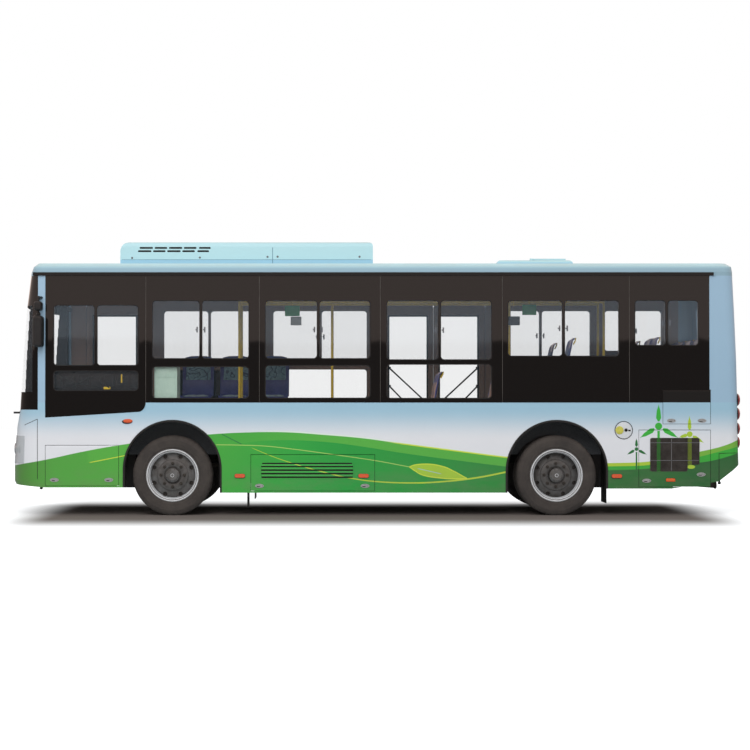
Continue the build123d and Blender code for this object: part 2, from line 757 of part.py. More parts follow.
# Rear axle with its differential and propshaft
diff_r = 165.0
diff_w = 240.0
prop_r = 45.0
engine_back = 341.0
engine_ahead = 168.0
engine_x0 = platform_x + engine_back
engine_x1 = rear_seam_x - engine_ahead
engine_half = 390.0
engine_low_z = 360.0
axle_end_y = wheel_track_y + tyre_w / 4
rear_axle = rod((rear_axle_x, -axle_end_y, wheel_z), (rear_axle_x, axle_end_y, wheel_z), axle_tube_r)
rear_axle += rod((rear_axle_x, -diff_w / 2, wheel_z), (rear_axle_x, diff_w / 2, wheel_z), diff_r / 2 + prop_r)
diff_end_x = rear_axle_x + diff_r
rear_axle += rod((rear_axle_x, 0, wheel_z), (diff_end_x, 0, wheel_z), diff_r / 2)
rear_axle += rod((rear_axle_x, 0, wheel_z), (engine_x0 - seat_gap, 0, wheel_z), prop_r)
for side in side_names:
    pad_y = side * spring_y
    pad_z = wheel_z + axle_tube_r / 2
    rear_axle += block(rear_axle_x - spring_w, rear_axle_x + spring_w, pad_y - spring_w / 2,
                       pad_y + spring_w / 2, pad_z, spring_low_z)
save("rear_axle", rear_axle)

# Engine and gearbox as one plain block between the raised rails
engine_top_z = platform_z - floor_t - liner_gap
engine = block(engine_x0, engine_x1, -engine_half, engine_half, engine_low_z, engine_top_z)
for side in side_names:
    y0, y1 = side * (rail_in - liner_gap), side * (rail_out + liner_gap)
    engine -= block(engine_x0, engine_x1, y0, y1, rail_low_z - liner_gap, rail_top_z + liner_gap)
save("power_unit", engine)

# Fuel tank under the deck on the door side, behind the front mudflap
mudflap_t = 8.0
front_mudflap_back = 875.0
front_mudflap_x = front_axle_x + front_mudflap_back
tank_clear = 72.0
tank_end_share = 0.4977
tank_x0 = front_mudflap_x + mudflap_t + tank_clear
tank_x1 = along(tank_end_share)
tank_inset = 145.0
tank_deep = 460.0
tank_rise = 33.0
tank_y1 = half_width - tank_inset
tank_y0 = tank_y1 - tank_deep
tank_z0 = mid_skirt_z + tank_rise
tank = block(tank_x0, tank_x1, tank_y0, tank_y1, tank_z0, rail_low_z)
tank += block(tank_x0, tank_x1, tank_y0 + hanger_w, tank_y1 - hanger_w, rail_low_z, deck_low_z - liner_gap)
save("fuel_tank", tank)

# Wheels: tyres and rims spun round the axle line
tyre_half = tyre_w / 2
shoulder = tyre_half * 0.86
barrel_half = tyre_half * 0.78
bead = barrel_half - seat_gap
tyre_profile = [
    (rim_r + seat_gap, -bead),
    (rim_r + rim_lip + seat_gap, -bead),
    (rim_r + tyre_half * 0.55, -tyre_half),
    (tyre_r * 0.94, -tyre_half * 0.97),
    (tyre_r, -shoulder),
    (tyre_r, shoulder),
    (tyre_r * 0.94, tyre_half * 0.97),
    (rim_r + tyre_half * 0.55, tyre_half),
    (rim_r + rim_lip + seat_gap, bead),
    (rim_r + seat_gap, bead),
]
hub_r = 82.0
hub_proud = 24.0
hand_hole_r = 26.0
hand_hole_pitch = 205.0
hand_holes = 8
wheel_stud_pitch = 137.5
wheel_stud_r = 11.0


def rim_solid(x, side, centre_ys, disc_off, bore_r):
    """Barrel rims joined by one disc, with hub, drum and hand holes."""
    pieces = []
    for centre_y in centre_ys:
        barrel = [
            (rim_r + rim_lip, -barrel_half - rim_lip),
            (rim_r + rim_lip, -barrel_half),
            (rim_r, -barrel_half),
            (rim_r, barrel_half),
            (rim_r + rim_lip, barrel_half),
            (rim_r + rim_lip, barrel_half + rim_lip),
            (rim_r - rim_wall, barrel_half + rim_lip),
            (rim_r - rim_wall, -barrel_half - rim_lip),
        ]
        pieces.append(turned(barrel, x, side * centre_y, side))
    outer_y = side * max(centre_ys)
    slope = tyre_half * 0.3
    disc = [
        (bore_r, disc_off),
        (hub_r * 2.2, disc_off),
        (rim_r - rim_wall, disc_off - slope),
        (rim_r - rim_wall, disc_off - slope - disc_t),
        (hub_r * 2.2, disc_off - disc_t),
        (bore_r, disc_off - disc_t),
    ]
    pieces.append(turned(disc, x, outer_y, side))
    drum = [
        (bore_r, disc_off - disc_t),
        (drum_r, disc_off - disc_t),
        (drum_r, disc_off - disc_t - drum_w),
        (bore_r, disc_off - disc_t - drum_w),
    ]
    pieces.append(turned(drum, x, outer_y, side))
    cap_start = disc_off
    cap_end = tyre_half + hub_proud * 0.2
    cap = [
        (0, cap_end),
        (hub_r * 0.7, cap_end),
        (hub_r, cap_end - hub_proud),
        (hub_r, cap_start),
        (bore_r, cap_start),
        (bore_r, cap_end - hub_proud),
        (0, cap_end - hub_proud),
    ]
    pieces.append(turned(cap, x, outer_y, side))
    rim = fuse(pieces)
    if len(centre_ys) > 1:
        inner_y, wide_y = min(centre_ys), max(centre_ys)
        spacer = [
            (rim_r - rim_wall, -barrel_half),
            (rim_r, -barrel_half),
            (rim_r, -(wide_y - inner_y) + barrel_half),
            (rim_r - rim_wall, -(wide_y - inner_y) + barrel_half),
        ]
        rim = rim.fuse(turned(spacer, x, outer_y, side))
    for index in range(hand_holes):
        angle = 2 * math.pi * (index + 0.5) / hand_holes
        hole_x = x + hand_hole_pitch * 1.16 * math.cos(angle)
        hole_z = wheel_z + hand_hole_pitch * 1.16 * math.sin(angle)
        start = (hole_x, outer_y + side * (disc_off + disc_t), hole_z)
        end = (hole_x, outer_y + side * (disc_off - tyre_half * 0.5), hole_z)
        rim -= rod(start, end, hand_hole_r)
    for index in range(hand_holes):
        angle = 2 * math.pi * index / hand_holes
        stud_x = x + wheel_stud_pitch * math.cos(angle)
        stud_z = wheel_z + wheel_stud_pitch * math.sin(angle)
        start = (stud_x, outer_y + side * (disc_off - disc_t), stud_z)
        end = (stud_x, outer_y + side * (disc_off + hub_proud), stud_z)
        rim += rod(start, end, wheel_stud_r)
    return rim


wheel_table = [
    ("front", front_axle_x, [wheel_track_y], tyre_half * 0.45, stub_r),
    ("rear", rear_axle_x, [wheel_track_y, wheel_track_y - twin_pitch], tyre_half * 0.1, axle_tube_r),
]
for end_name, axle_x, centre_ys, disc_off, shaft_r in wheel_table:
    for side, side_name in side_names.items():
        tyres = [turned(tyre_profile, axle_x, side * y, side) for y in centre_ys]
        save(f"tyre_{end_name}_{side_name}", group(tyres))
        rim = rim_solid(axle_x, side, centre_ys, disc_off, shaft_r + pin_gap)
        save(f"rim_{end_name}_{side_name}", rim)

# Wheel arch trims and mudflaps
def arch_trim(x, radius, side):
    """A rubber hoop round one wheel arch, down to the skirt's bottom edge."""
    y_out = side * (half_width + move_gap)
    y0, y1 = sorted((y_out, y_out - side * arch_trim_d))
    centre_z = arch_top_z - radius
    solids = []
    for hoop_r in (radius - seat_gap, radius - seat_gap - arch_trim_w):
        hoop = rod((x, y0, centre_z), (x, y1, centre_z), hoop_r)
        solids.append(hoop + block(x - hoop_r, x + hoop_r, y0, y1, low, centre_z))
    return (solids[0] - solids[1]) - under_cut


front_mudflap_z = 89.0
rear_mudflap_z = 137.0
mudflap_w = 400.0
mudflap_y1 = wheel_track_y + arch_trim_w
mudflap_y0 = mudflap_y1 - mudflap_w
trims = []
for side in side_names:
    trims.append(arch_trim(front_axle_x, arch_front_r, side))
    trims.append(arch_trim(rear_axle_x, arch_rear_r, side))
save("arch_trims", group(trims))
mudflaps = []
rear_mudflap_x = platform_x - box_t - seat_gap - mudflap_t
for side in side_names:
    y0, y1 = side * mudflap_y0, side * mudflap_y1
    mudflaps.append(block(front_mudflap_x, front_mudflap_x + mudflap_t, y0, y1,
                          front_mudflap_z, deck_low_z - seat_gap))
    mudflaps.append(block(rear_mudflap_x, rear_mudflap_x + mudflap_t, y0, y1,
                          rear_mudflap_z, floor_z + floor_t))
save("mudflaps", group(mudflaps))

# Air conditioner on the roof
ac_shares = (0.15351, 0.50115)
ac_x0, ac_x1 = [along(share) for share in ac_shares]
ac_inset = 375.0
ac_half = half_width - ac_inset
ac_front_r = 125.0
ac_rear_r = 60.0
ac_side_r = 70.0


def rounded_cover(x0, x1, half, z0, z1, front_r, rear_r, side_r):
    """A cover with rounded top edges, from two crossed outlines."""
    lobe = 1 - math.sqrt(0.5)
    side_view = make_face([
        Line((x0, 0, z0), (x0, 0, z1 - front_r)),
        ThreePointArc((x0, 0, z1 - front_r), (x0 + front_r * lobe, 0, z1 - front_r * lobe),
                      (x0 + front_r, 0, z1)),
        Line((x0 + front_r, 0, z1), (x1 - rear_r, 0, z1)),
        ThreePointArc((x1 - rear_r, 0, z1), (x1 - rear_r * lobe, 0, z1 - rear_r * lobe),
                      (x1, 0, z1 - rear_r)),
        Line((x1, 0, z1 - rear_r), (x1, 0, z0)),
        Line((x1, 0, z0), (x0, 0, z0)),
    ])
    front_view = make_face([
        Line((x0, -half, z0), (x0, -half, z1 - side_r)),
        ThreePointArc((x0, -half, z1 - side_r), (x0, -half + side_r * lobe, z1 - side_r * lobe),
                      (x0, -half + side_r, z1)),
        Line((x0, -half + side_r, z1), (x0, half - side_r, z1)),
        ThreePointArc((x0, half - side_r, z1), (x0, half - side_r * lobe, z1 - side_r * lobe),
                      (x0, half, z1 - side_r)),
        Line((x0, half, z1 - side_r), (x0, half, z0)),
        Line((x0, half, z0), (x0, -half, z0)),
    ])
    run = extrude(Pos(0, -half, 0) * side_view, 2 * half, dir=(0, 1, 0))
    return run & extrude(front_view, x1 - x0, dir=(1, 0, 0))


save("ac_unit", rounded_cover(ac_x0, ac_x1, ac_half, roof_z, total_z, ac_front_r, ac_rear_r, ac_side_r))

# Roof hatch: low base and a lid hinged at its front edge
hatch_shares = (0.67618, 0.78308)
hatch_lid_shares = (0.72486, 0.77445)
hatch_x0, hatch_x1 = [along(share) for share in hatch_shares]
hatch_half = 420.0
hatch_high = 94.0
hatch_top_z = roof_z + hatch_high
hatch_r = 50.0
hatch_lid_x0, hatch_lid_x1 = [along(share) for share in hatch_lid_shares]
hatch_lid_half = 300.0
hatch_lid_t = 20.0
hatch_ear_t = 20.0
hatch_pin_r = 4.0
hatch_base = rounded_cover(hatch_x0, hatch_x1, hatch_half, roof_z, hatch_top_z, hatch_r, hatch_r, hatch_r)
hatch_axis_x = hatch_lid_x0 + hatch_lid_t / 2
hatch_axis_z = hatch_top_z + move_gap + hatch_lid_t / 2
lid_half_y = hatch_lid_half
hatch_lid = block(hatch_axis_x, hatch_lid_x1, -lid_half_y, lid_half_y,
                  hatch_top_z + move_gap, hatch_top_z + move_gap + hatch_lid_t)
hatch_lid += rod((hatch_axis_x, -lid_half_y, hatch_axis_z), (hatch_axis_x, lid_half_y, hatch_axis_z),
                 hatch_lid_t / 2)
for side in side_names:
    ear_y0 = side * (lid_half_y + move_gap)
    ear_y1 = side * (lid_half_y + move_gap + hatch_ear_t)
    pin_in = side * (lid_half_y - flap_pin_reach)
    ear = block(hatch_axis_x - hatch_ear_t, hatch_axis_x + hatch_ear_t, min(ear_y0, ear_y1),
                max(ear_y0, ear_y1), hatch_top_z - hatch_ear_t, hatch_axis_z + hatch_lid_t / 2)
    hatch_base += ear
    hatch_base += rod((hatch_axis_x, ear_y1, hatch_axis_z), (hatch_axis_x, pin_in, hatch_axis_z), hatch_pin_r)
    hatch_lid -= rod((hatch_axis_x, ear_y0, hatch_axis_z), (hatch_axis_x, pin_in, hatch_axis_z),
                     hatch_pin_r + pin_gap)
save("roof_hatch", hatch_base)
save("hatch_lid", hatch_lid)

# Mirrors: a head on an arm at each front corner
mirror_ahead = 10.0
mirror_x = corner_x - mirror_ahead
mirror_out = 105.0
mirror_y = half_width + mirror_out
mirror_drop = 660.0
mirror_z = gutter_z - mirror_drop
mirror_high = 370.0
mirror_wide = 110.0
mirror_deep = 210.0
mirror_arm_drop = 260.0
mirror_top_z = gutter_z - mirror_arm_drop
mirror_arm_r = 14.0
mirror_foot_x = corner_x + mirror_ahead
mirrors = []
for side in side_names:
    head_y = side * mirror_y
    head = Pos(mirror_x, head_y, mirror_z) * Box(mirror_wide, mirror_deep, mirror_high)
    head = fillet(head.edges(), mirror_wide / 3)
    knob = Pos(mirror_x, head_y, mirror_z + mirror_high / 2 + mirror_wide) * Box(
        mirror_wide * 0.8, mirror_deep * 0.8, mirror_wide)
    knob = fillet(knob.edges(), mirror_wide / 4)
    arm = rod((mirror_x, head_y, mirror_z), (mirror_x, head_y, mirror_top_z), mirror_arm_r)
    foot_y = side * (half_width - glass_t - wall_t / 4)
    arm += rod((mirror_x, head_y, mirror_top_z), (mirror_foot_x, foot_y, mirror_top_z), mirror_arm_r)
    arm += Pos(mirror_x, head_y, mirror_top_z) * Sphere(mirror_arm_r)
    mirrors.append(head + knob + arm)
save("mirrors", group([mirror - outer for mirror in mirrors]))

# Lamps: headlamps, stacked round tail lamps and side lamps
head_lamp_z0 = 610.0
head_lamp_z1 = 935.0
head_lamp_inset = 65.0
head_lamp_wide = 460.0
head_lamp_y1 = half_width - head_lamp_inset
head_lamp_y0 = head_lamp_y1 - head_lamp_wide
front_lens = body_form(-move_gap)
lamp_seat = body_form(-seat_gap)
lamps = []
for side in side_names:
    y0, y1 = sorted((side * head_lamp_y0, side * head_lamp_y1))
    patch = block(far_front, front_seam_x - wall_t * 2, y0, y1, head_lamp_z0, head_lamp_z1)
    lamps.append((front_lens - lamp_seat) & patch)
save("headlamps", group(lamps))

tail_lamp_r = 78.0
tail_lamp_inset = 140.0
tail_lamp_y = half_width - tail_lamp_inset
tail_lamp_depth = 40.0
tail_lamp_shares = (0.4573, 0.4017, 0.3424, 0.2883)
lamps = []
for share in tail_lamp_shares:
    for side in side_names:
        lamp_z = share * roof_z
        lamp_y = side * tail_lamp_y
        lamp_end = (tail_x + lamp_proud, lamp_y, lamp_z)
        lamp = rod((tail_x - tail_lamp_depth, lamp_y, lamp_z), lamp_end, tail_lamp_r)
        lamps.append(lamp - lamp_seat)
save("tail_lamps", group(lamps))

# Side lamps: a turn signal behind the driver's window and reflectors along each skirt.
# Columns: place along the bus, height as a share of the roof height
rear_reflector_back = 102.0
side_lamp_places = [
    (along(0.1689), 0.3704),
    (along(0.3205), 0.1562),
    (along(0.4877), 0.1562),
    (rear_axle_x + arch_rear_r + rear_reflector_back, 0.1550),
]
side_lamp_long = 130.0
side_lamp_high = 56.0
side_lamp_proud = 16.0
lamps = []
for centre_x, height_share in side_lamp_places:
    for side in side_names:
        if side > 0 and centre_x < front_axle_x:
            continue
        lamp_z = height_share * roof_z
        y_in = side * (half_width + seat_gap)
        y_out = side * (half_width + side_lamp_proud)
        lamps.append(block(centre_x - side_lamp_long / 2, centre_x + side_lamp_long / 2,
                           min(y_in, y_out), max(y_in, y_out),
                           lamp_z - side_lamp_high / 2, lamp_z + side_lamp_high / 2))
save("side_lamps", group(lamps))

# Wipers parked across the windscreen's foot
wiper_pivot_y = 560.0
wiper_drop = 38.0
wiper_pivot_z = screen_z - wiper_drop
wiper_reach = 760.0
wiper_t = 12.0
wiper_off = 6.0
wiper_rise = 190.0
wiper_form = body_form(-wiper_off - wiper_t) - body_form(-wiper_off)
wipers = []
for pivot_y in (-wiper_pivot_y, wiper_pivot_y * 0.45):
    outline = make_face(Polyline(
        (nose_x, pivot_y - wiper_t, wiper_pivot_z),
        (nose_x, pivot_y + wiper_t * 2, wiper_pivot_z),
        (nose_x, pivot_y + wiper_reach, wiper_pivot_z + wiper_rise),
        (nose_x, pivot_y + wiper_reach, wiper_pivot_z + wiper_rise + wiper_t * 2),
        close=True,
    ))
    sweep = extrude(outline, nose_sweep, dir=(1, 0, 0))
    sweep += extrude(outline, nose_sweep, dir=(-1, 0, 0))
    arm = wiper_form & sweep
    pivot_start = (nose_x + wiper_off, pivot_y, wiper_pivot_z)
    pivot = rod(pivot_start, (nose_x + nose_sweep, pivot_y, wiper_pivot_z), wiper_t)
    wipers.append((arm + pivot) - lamp_seat)
save("wipers", group(wipers))

# Inside: passenger seats
seat_w = 410.0
seat_d = 430.0
seat_h = 440.0
seat_back_h = 520.0
seat_shell_t = 40.0
seat_lean = 90.0
seat_leg_w = 90.0
seat_leg_d = 160.0


def seat_outline(squab_h):
    """Side outline of one seat: forward is +u, up is w, origin at its heel."""
    top = squab_h + seat_back_h
    return [
        (0, squab_h - seat_shell_t),
        (-seat_lean, top),
        (seat_shell_t - seat_lean, top),
        (seat_shell_t, squab_h),
        (seat_d, squab_h + seat_shell_t / 2),
        (seat_d, squab_h - seat_shell_t),
    ]


def seat(heel_x, centre_y, base_z, facing, squab_h=seat_h):
    """One seat facing (x, y), its shell on a single leg."""
    face_x, face_y = facing
    outline = seat_outline(squab_h)
    shell_face = make_face(Polyline(*[(u, 0, w) for u, w in outline], close=True))
    form = extrude(Pos(0, -seat_w / 2, 0) * shell_face, seat_w, dir=(0, 1, 0))
    form += block(seat_leg_d, seat_leg_d * 2, -seat_leg_w / 2, seat_leg_w / 2, seat_gap, squab_h)
    turn = math.degrees(math.atan2(face_y, face_x))
    return Pos(heel_x, centre_y, base_z) * Rot(0, 0, turn) * form


seat_wall_gap = 55.0
seat_wall_y = half_width - wall_t - seat_wall_gap - seat_w / 2
seat_aisle_y = seat_wall_y - seat_w - seat_shell_t / 2
inward_gap = 125.0
inward_y = half_width - wall_t - inward_gap
forward = (-1, 0)
inward = (0, -1)
# Columns: heel as a share of the length, centre y, base height, facing
seat_shares = [
    (0.5000, -seat_wall_y, floor_z, forward),
    (0.5000, -seat_aisle_y, floor_z, forward),
    (0.5840, -seat_wall_y, floor_z, forward),
    (0.5840, -seat_aisle_y, floor_z, forward),
    (0.6646, -seat_wall_y, floor_z, forward),
    (0.6646, -seat_aisle_y, floor_z, forward),
    (0.5023, seat_wall_y, floor_z, forward),
    (0.8797, -seat_wall_y, platform_z, forward),
    (0.8797, -seat_aisle_y, platform_z, forward),
    (0.8797, seat_wall_y, platform_z, forward),
    (0.8797, seat_aisle_y, platform_z, forward),
    (0.7647, -seat_wall_y, wheel_box_top_z, forward),
    (0.7647, seat_wall_y, wheel_box_top_z, forward),
]
bench_share = 0.9465
for bench_y in (-seat_wall_y, -seat_aisle_y, 0, seat_aisle_y, seat_wall_y):
    seat_shares.append((bench_share, bench_y, platform_z, forward))
seat_table = [(along(share), y, base, facing) for share, y, base, facing in seat_shares]
# The inward row along the door side, on low legs over the wheel box and its plinth
inward_pitch = 490.0
inward_squab_h = 280.0
for place in (-1, 0, 1):
    inward_x = front_box_x1 + place * inward_pitch
    seat_table.append((inward_x, inward_y, wheel_box_top_z, inward, inward_squab_h))
save("seats", group([seat(*row) for row in seat_table]))

# Driver's place: seat, dashboard, steering wheel and the cabinet behind
driver_seat_ahead = 80.0
driver_inset = 525.0
driver_x = front_box_x0 - driver_seat_ahead
driver_y = driver_inset - half_width
save("driver_seat", seat(driver_x, driver_y, floor_z, forward))
dash_shares = (0.03395, 0.07537)
dash_x0, dash_x1 = [along(share) for share in dash_shares]
dash_wall_gap = 55.0
dash_y0 = dash_wall_gap + wall_t - half_width
dash_y1 = -180.0
dash_rise = 94.0
dash_top_z = belt_z + dash_rise
dash_drop = 140.0
dash_gap = 20.0
dash_outline = [
    (deck_front_x, floor_z + seat_gap),
    (dash_x1, floor_z + seat_gap),
    (dash_x1 - dash_drop, dash_top_z - dash_drop * 2),
    (dash_x1 - dash_drop / 2, dash_top_z),
    (dash_x0, dash_top_z - dash_drop),
    (deck_front_x, dash_top_z - dash_drop * 4),
]
clear_inside = body_form(wall_t + dash_gap)
dashboard = side_prism(dash_outline, dash_y0, dash_y1) & clear_inside
column_r = 26.0
column_shares = (0.09033, 0.05581)
column_rise = 219.0
column_drop = 86.0
wheel_centre = (along(column_shares[0]), driver_y, belt_z + column_rise)
column_foot = (along(column_shares[1]), driver_y, belt_z - column_drop)
dashboard += rod(column_foot, wheel_centre, column_r)
save("dashboard", dashboard)
column_dir = (Vector(*wheel_centre) - Vector(*column_foot)).normalized()
steer_r = 225.0
steer_rim_r = 15.0
spoke_r = 12.0
steer_lift = column_r
steer_plane = Plane(origin=Vector(*wheel_centre) + column_dir * steer_lift, z_dir=column_dir)
steering_wheel = steer_plane * Torus(steer_r, steer_rim_r)
steering_wheel += extrude(steer_plane * Circle(column_r * 2), column_r - seat_gap, both=True)
for spoke in range(3):
    turn = Rot(0, 0, 90 + 120 * spoke)
    bar = Pos(steer_r / 2, 0, 0) * Rot(0, 90, 0) * Cylinder(spoke_r, steer_r)
    steering_wheel += steer_plane.location * turn * bar
save("steering_wheel", steering_wheel)
cabinet_shares = (0.20414, 0.23487)
cabinet_x0, cabinet_x1 = [along(share) for share in cabinet_shares]
cabinet_deep = 400.0
cabinet_y0 = wall_t + wheel_box_rise - half_width
cabinet_rise = 424.0
cabinet_top_z = belt_z + cabinet_rise
save("cabinet", block(cabinet_x0, cabinet_x1, cabinet_y0, cabinet_y0 + cabinet_deep,
                      wheel_box_top_z + seat_gap, cabinet_top_z))

# Grab rails: two level rails, with poles from deck to rail and from rail to ceiling
pole_r = 16.0
pole_seat_gap = 14.0
pole_y = seat_aisle_y - seat_w / 2 - pole_r - pole_seat_gap
rail_drop = 260.0
rail_pole_z = gutter_z - rail_drop
ceiling_z = roof_z - wall_t
# Columns: place as a share of the length, base height
pole_shares = [
    (0.3136, floor_z),
    (0.4448, floor_z),
    (0.5127, floor_z),
    (0.6956, floor_z),
    (0.8291, platform_z),
]
grab_rails = []
for side in side_names:
    y = side * pole_y
    run_start = along(pole_shares[0][0]) - pole_r
    run_end = along(pole_shares[-1][0]) + pole_r
    grab_rails.append(rod((run_start, y, rail_pole_z), (run_end, y, rail_pole_z), pole_r))
    for share, base_z in pole_shares:
        for z0, z1 in ((base_z, rail_pole_z - pole_r), (rail_pole_z + pole_r, ceiling_z)):
            grab_rails.append(rod((along(share), y, z0 + seat_gap), (along(share), y, z1 - seat_gap), pole_r))
save("grab_rails", group(grab_rails))
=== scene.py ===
"""Looks for a city bus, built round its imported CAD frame. Metres, nose -X, driver's side -Y."""
import json
import math

import bmesh
import bpy
from mathutils import Matrix, Vector
from mathutils.bvhtree import BVHTree

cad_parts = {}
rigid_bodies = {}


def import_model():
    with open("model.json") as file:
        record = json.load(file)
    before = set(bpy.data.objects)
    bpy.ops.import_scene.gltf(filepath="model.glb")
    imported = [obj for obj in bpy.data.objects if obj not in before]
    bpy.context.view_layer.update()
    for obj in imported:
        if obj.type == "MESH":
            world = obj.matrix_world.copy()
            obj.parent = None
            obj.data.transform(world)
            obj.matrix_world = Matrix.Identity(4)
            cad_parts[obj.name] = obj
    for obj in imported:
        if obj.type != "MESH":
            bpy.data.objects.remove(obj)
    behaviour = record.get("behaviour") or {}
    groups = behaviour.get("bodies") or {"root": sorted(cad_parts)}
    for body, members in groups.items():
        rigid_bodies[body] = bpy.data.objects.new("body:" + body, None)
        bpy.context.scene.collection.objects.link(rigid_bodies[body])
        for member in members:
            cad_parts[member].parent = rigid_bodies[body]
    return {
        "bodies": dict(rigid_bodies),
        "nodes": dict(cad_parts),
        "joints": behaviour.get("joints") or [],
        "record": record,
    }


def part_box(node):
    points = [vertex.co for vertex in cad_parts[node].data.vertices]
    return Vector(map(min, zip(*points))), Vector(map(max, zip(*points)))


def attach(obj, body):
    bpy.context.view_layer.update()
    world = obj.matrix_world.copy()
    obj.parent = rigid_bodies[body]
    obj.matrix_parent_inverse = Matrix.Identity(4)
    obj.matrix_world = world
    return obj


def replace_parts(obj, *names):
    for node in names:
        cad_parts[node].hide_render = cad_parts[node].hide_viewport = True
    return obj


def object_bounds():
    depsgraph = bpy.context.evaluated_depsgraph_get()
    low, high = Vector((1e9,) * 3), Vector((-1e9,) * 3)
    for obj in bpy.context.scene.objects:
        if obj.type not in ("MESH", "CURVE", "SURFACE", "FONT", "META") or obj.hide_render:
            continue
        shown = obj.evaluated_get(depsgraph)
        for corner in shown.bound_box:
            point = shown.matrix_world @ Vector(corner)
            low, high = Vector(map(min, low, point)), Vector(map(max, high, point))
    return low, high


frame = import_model()
cad_low, cad_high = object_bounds()
nodes = frame["nodes"]

# Places taken from the frame
NOSE = cad_low.x
LENGTH = cad_high.x - cad_low.x
SIDE = -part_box("skirt_left")[0].y
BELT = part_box("skirt_left")[1].z
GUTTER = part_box("glass_left")[1].z
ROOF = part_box("roof")[1].z
WHEELS = {name: (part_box("tyre_" + name)[0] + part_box("tyre_" + name)[1]) / 2
          for name in ("front_left", "front_right", "rear_left", "rear_right")}
TYRE_R = WHEELS["front_left"].z

# The photograph's viewpoint: a level camera, square to the driver's side
CAMERA_PLACE = (-0.384, -22.125, 1.345)
CAMERA_LENS = 85.38
CAMERA_SHIFT = (0.0467, 0.0347)

# Light levels. The sky seen in gloss starts just above the horizon.
SKY_LEVEL = 0.74
LIGHT_TINT = (0.96, 0.985, 1.0, 1)
GLOSS_LEVEL = 0.92
GLOSS_TINT = (1.0, 0.80, 0.72, 1)
HORIZON_LEVEL = 0.20
HORIZON_SINE = 0.0597
HORIZON_SOFT = 0.0012
KEY_POWER = 900.0
FLOOR_GLOW = 0.55
SHADE_NEAR, SHADE_FAR = -2.75, 1.30     # edges of the shade under the bus, across
SHADE_SOFT = 0.95
SHADE_IN = 0.35
SHADE_TONE = (0.20, 0.170, 0.155, 1)


def along(share):
    """X at a share of the length, counted from the nose."""
    return NOSE + share * LENGTH


def band_height(share):
    """Z at a share of the glass band, counted from the belt."""
    return BELT + share * (GUTTER - BELT)


def linear(red, green, blue):
    """A colour given in 0 to 255 screen values, as the scene's linear colour."""
    def one(value):
        value /= 255
        return value / 12.92 if value <= 0.04045 else ((value + 0.055) / 1.055) ** 2.4
    return one(red), one(green), one(blue), 1.0


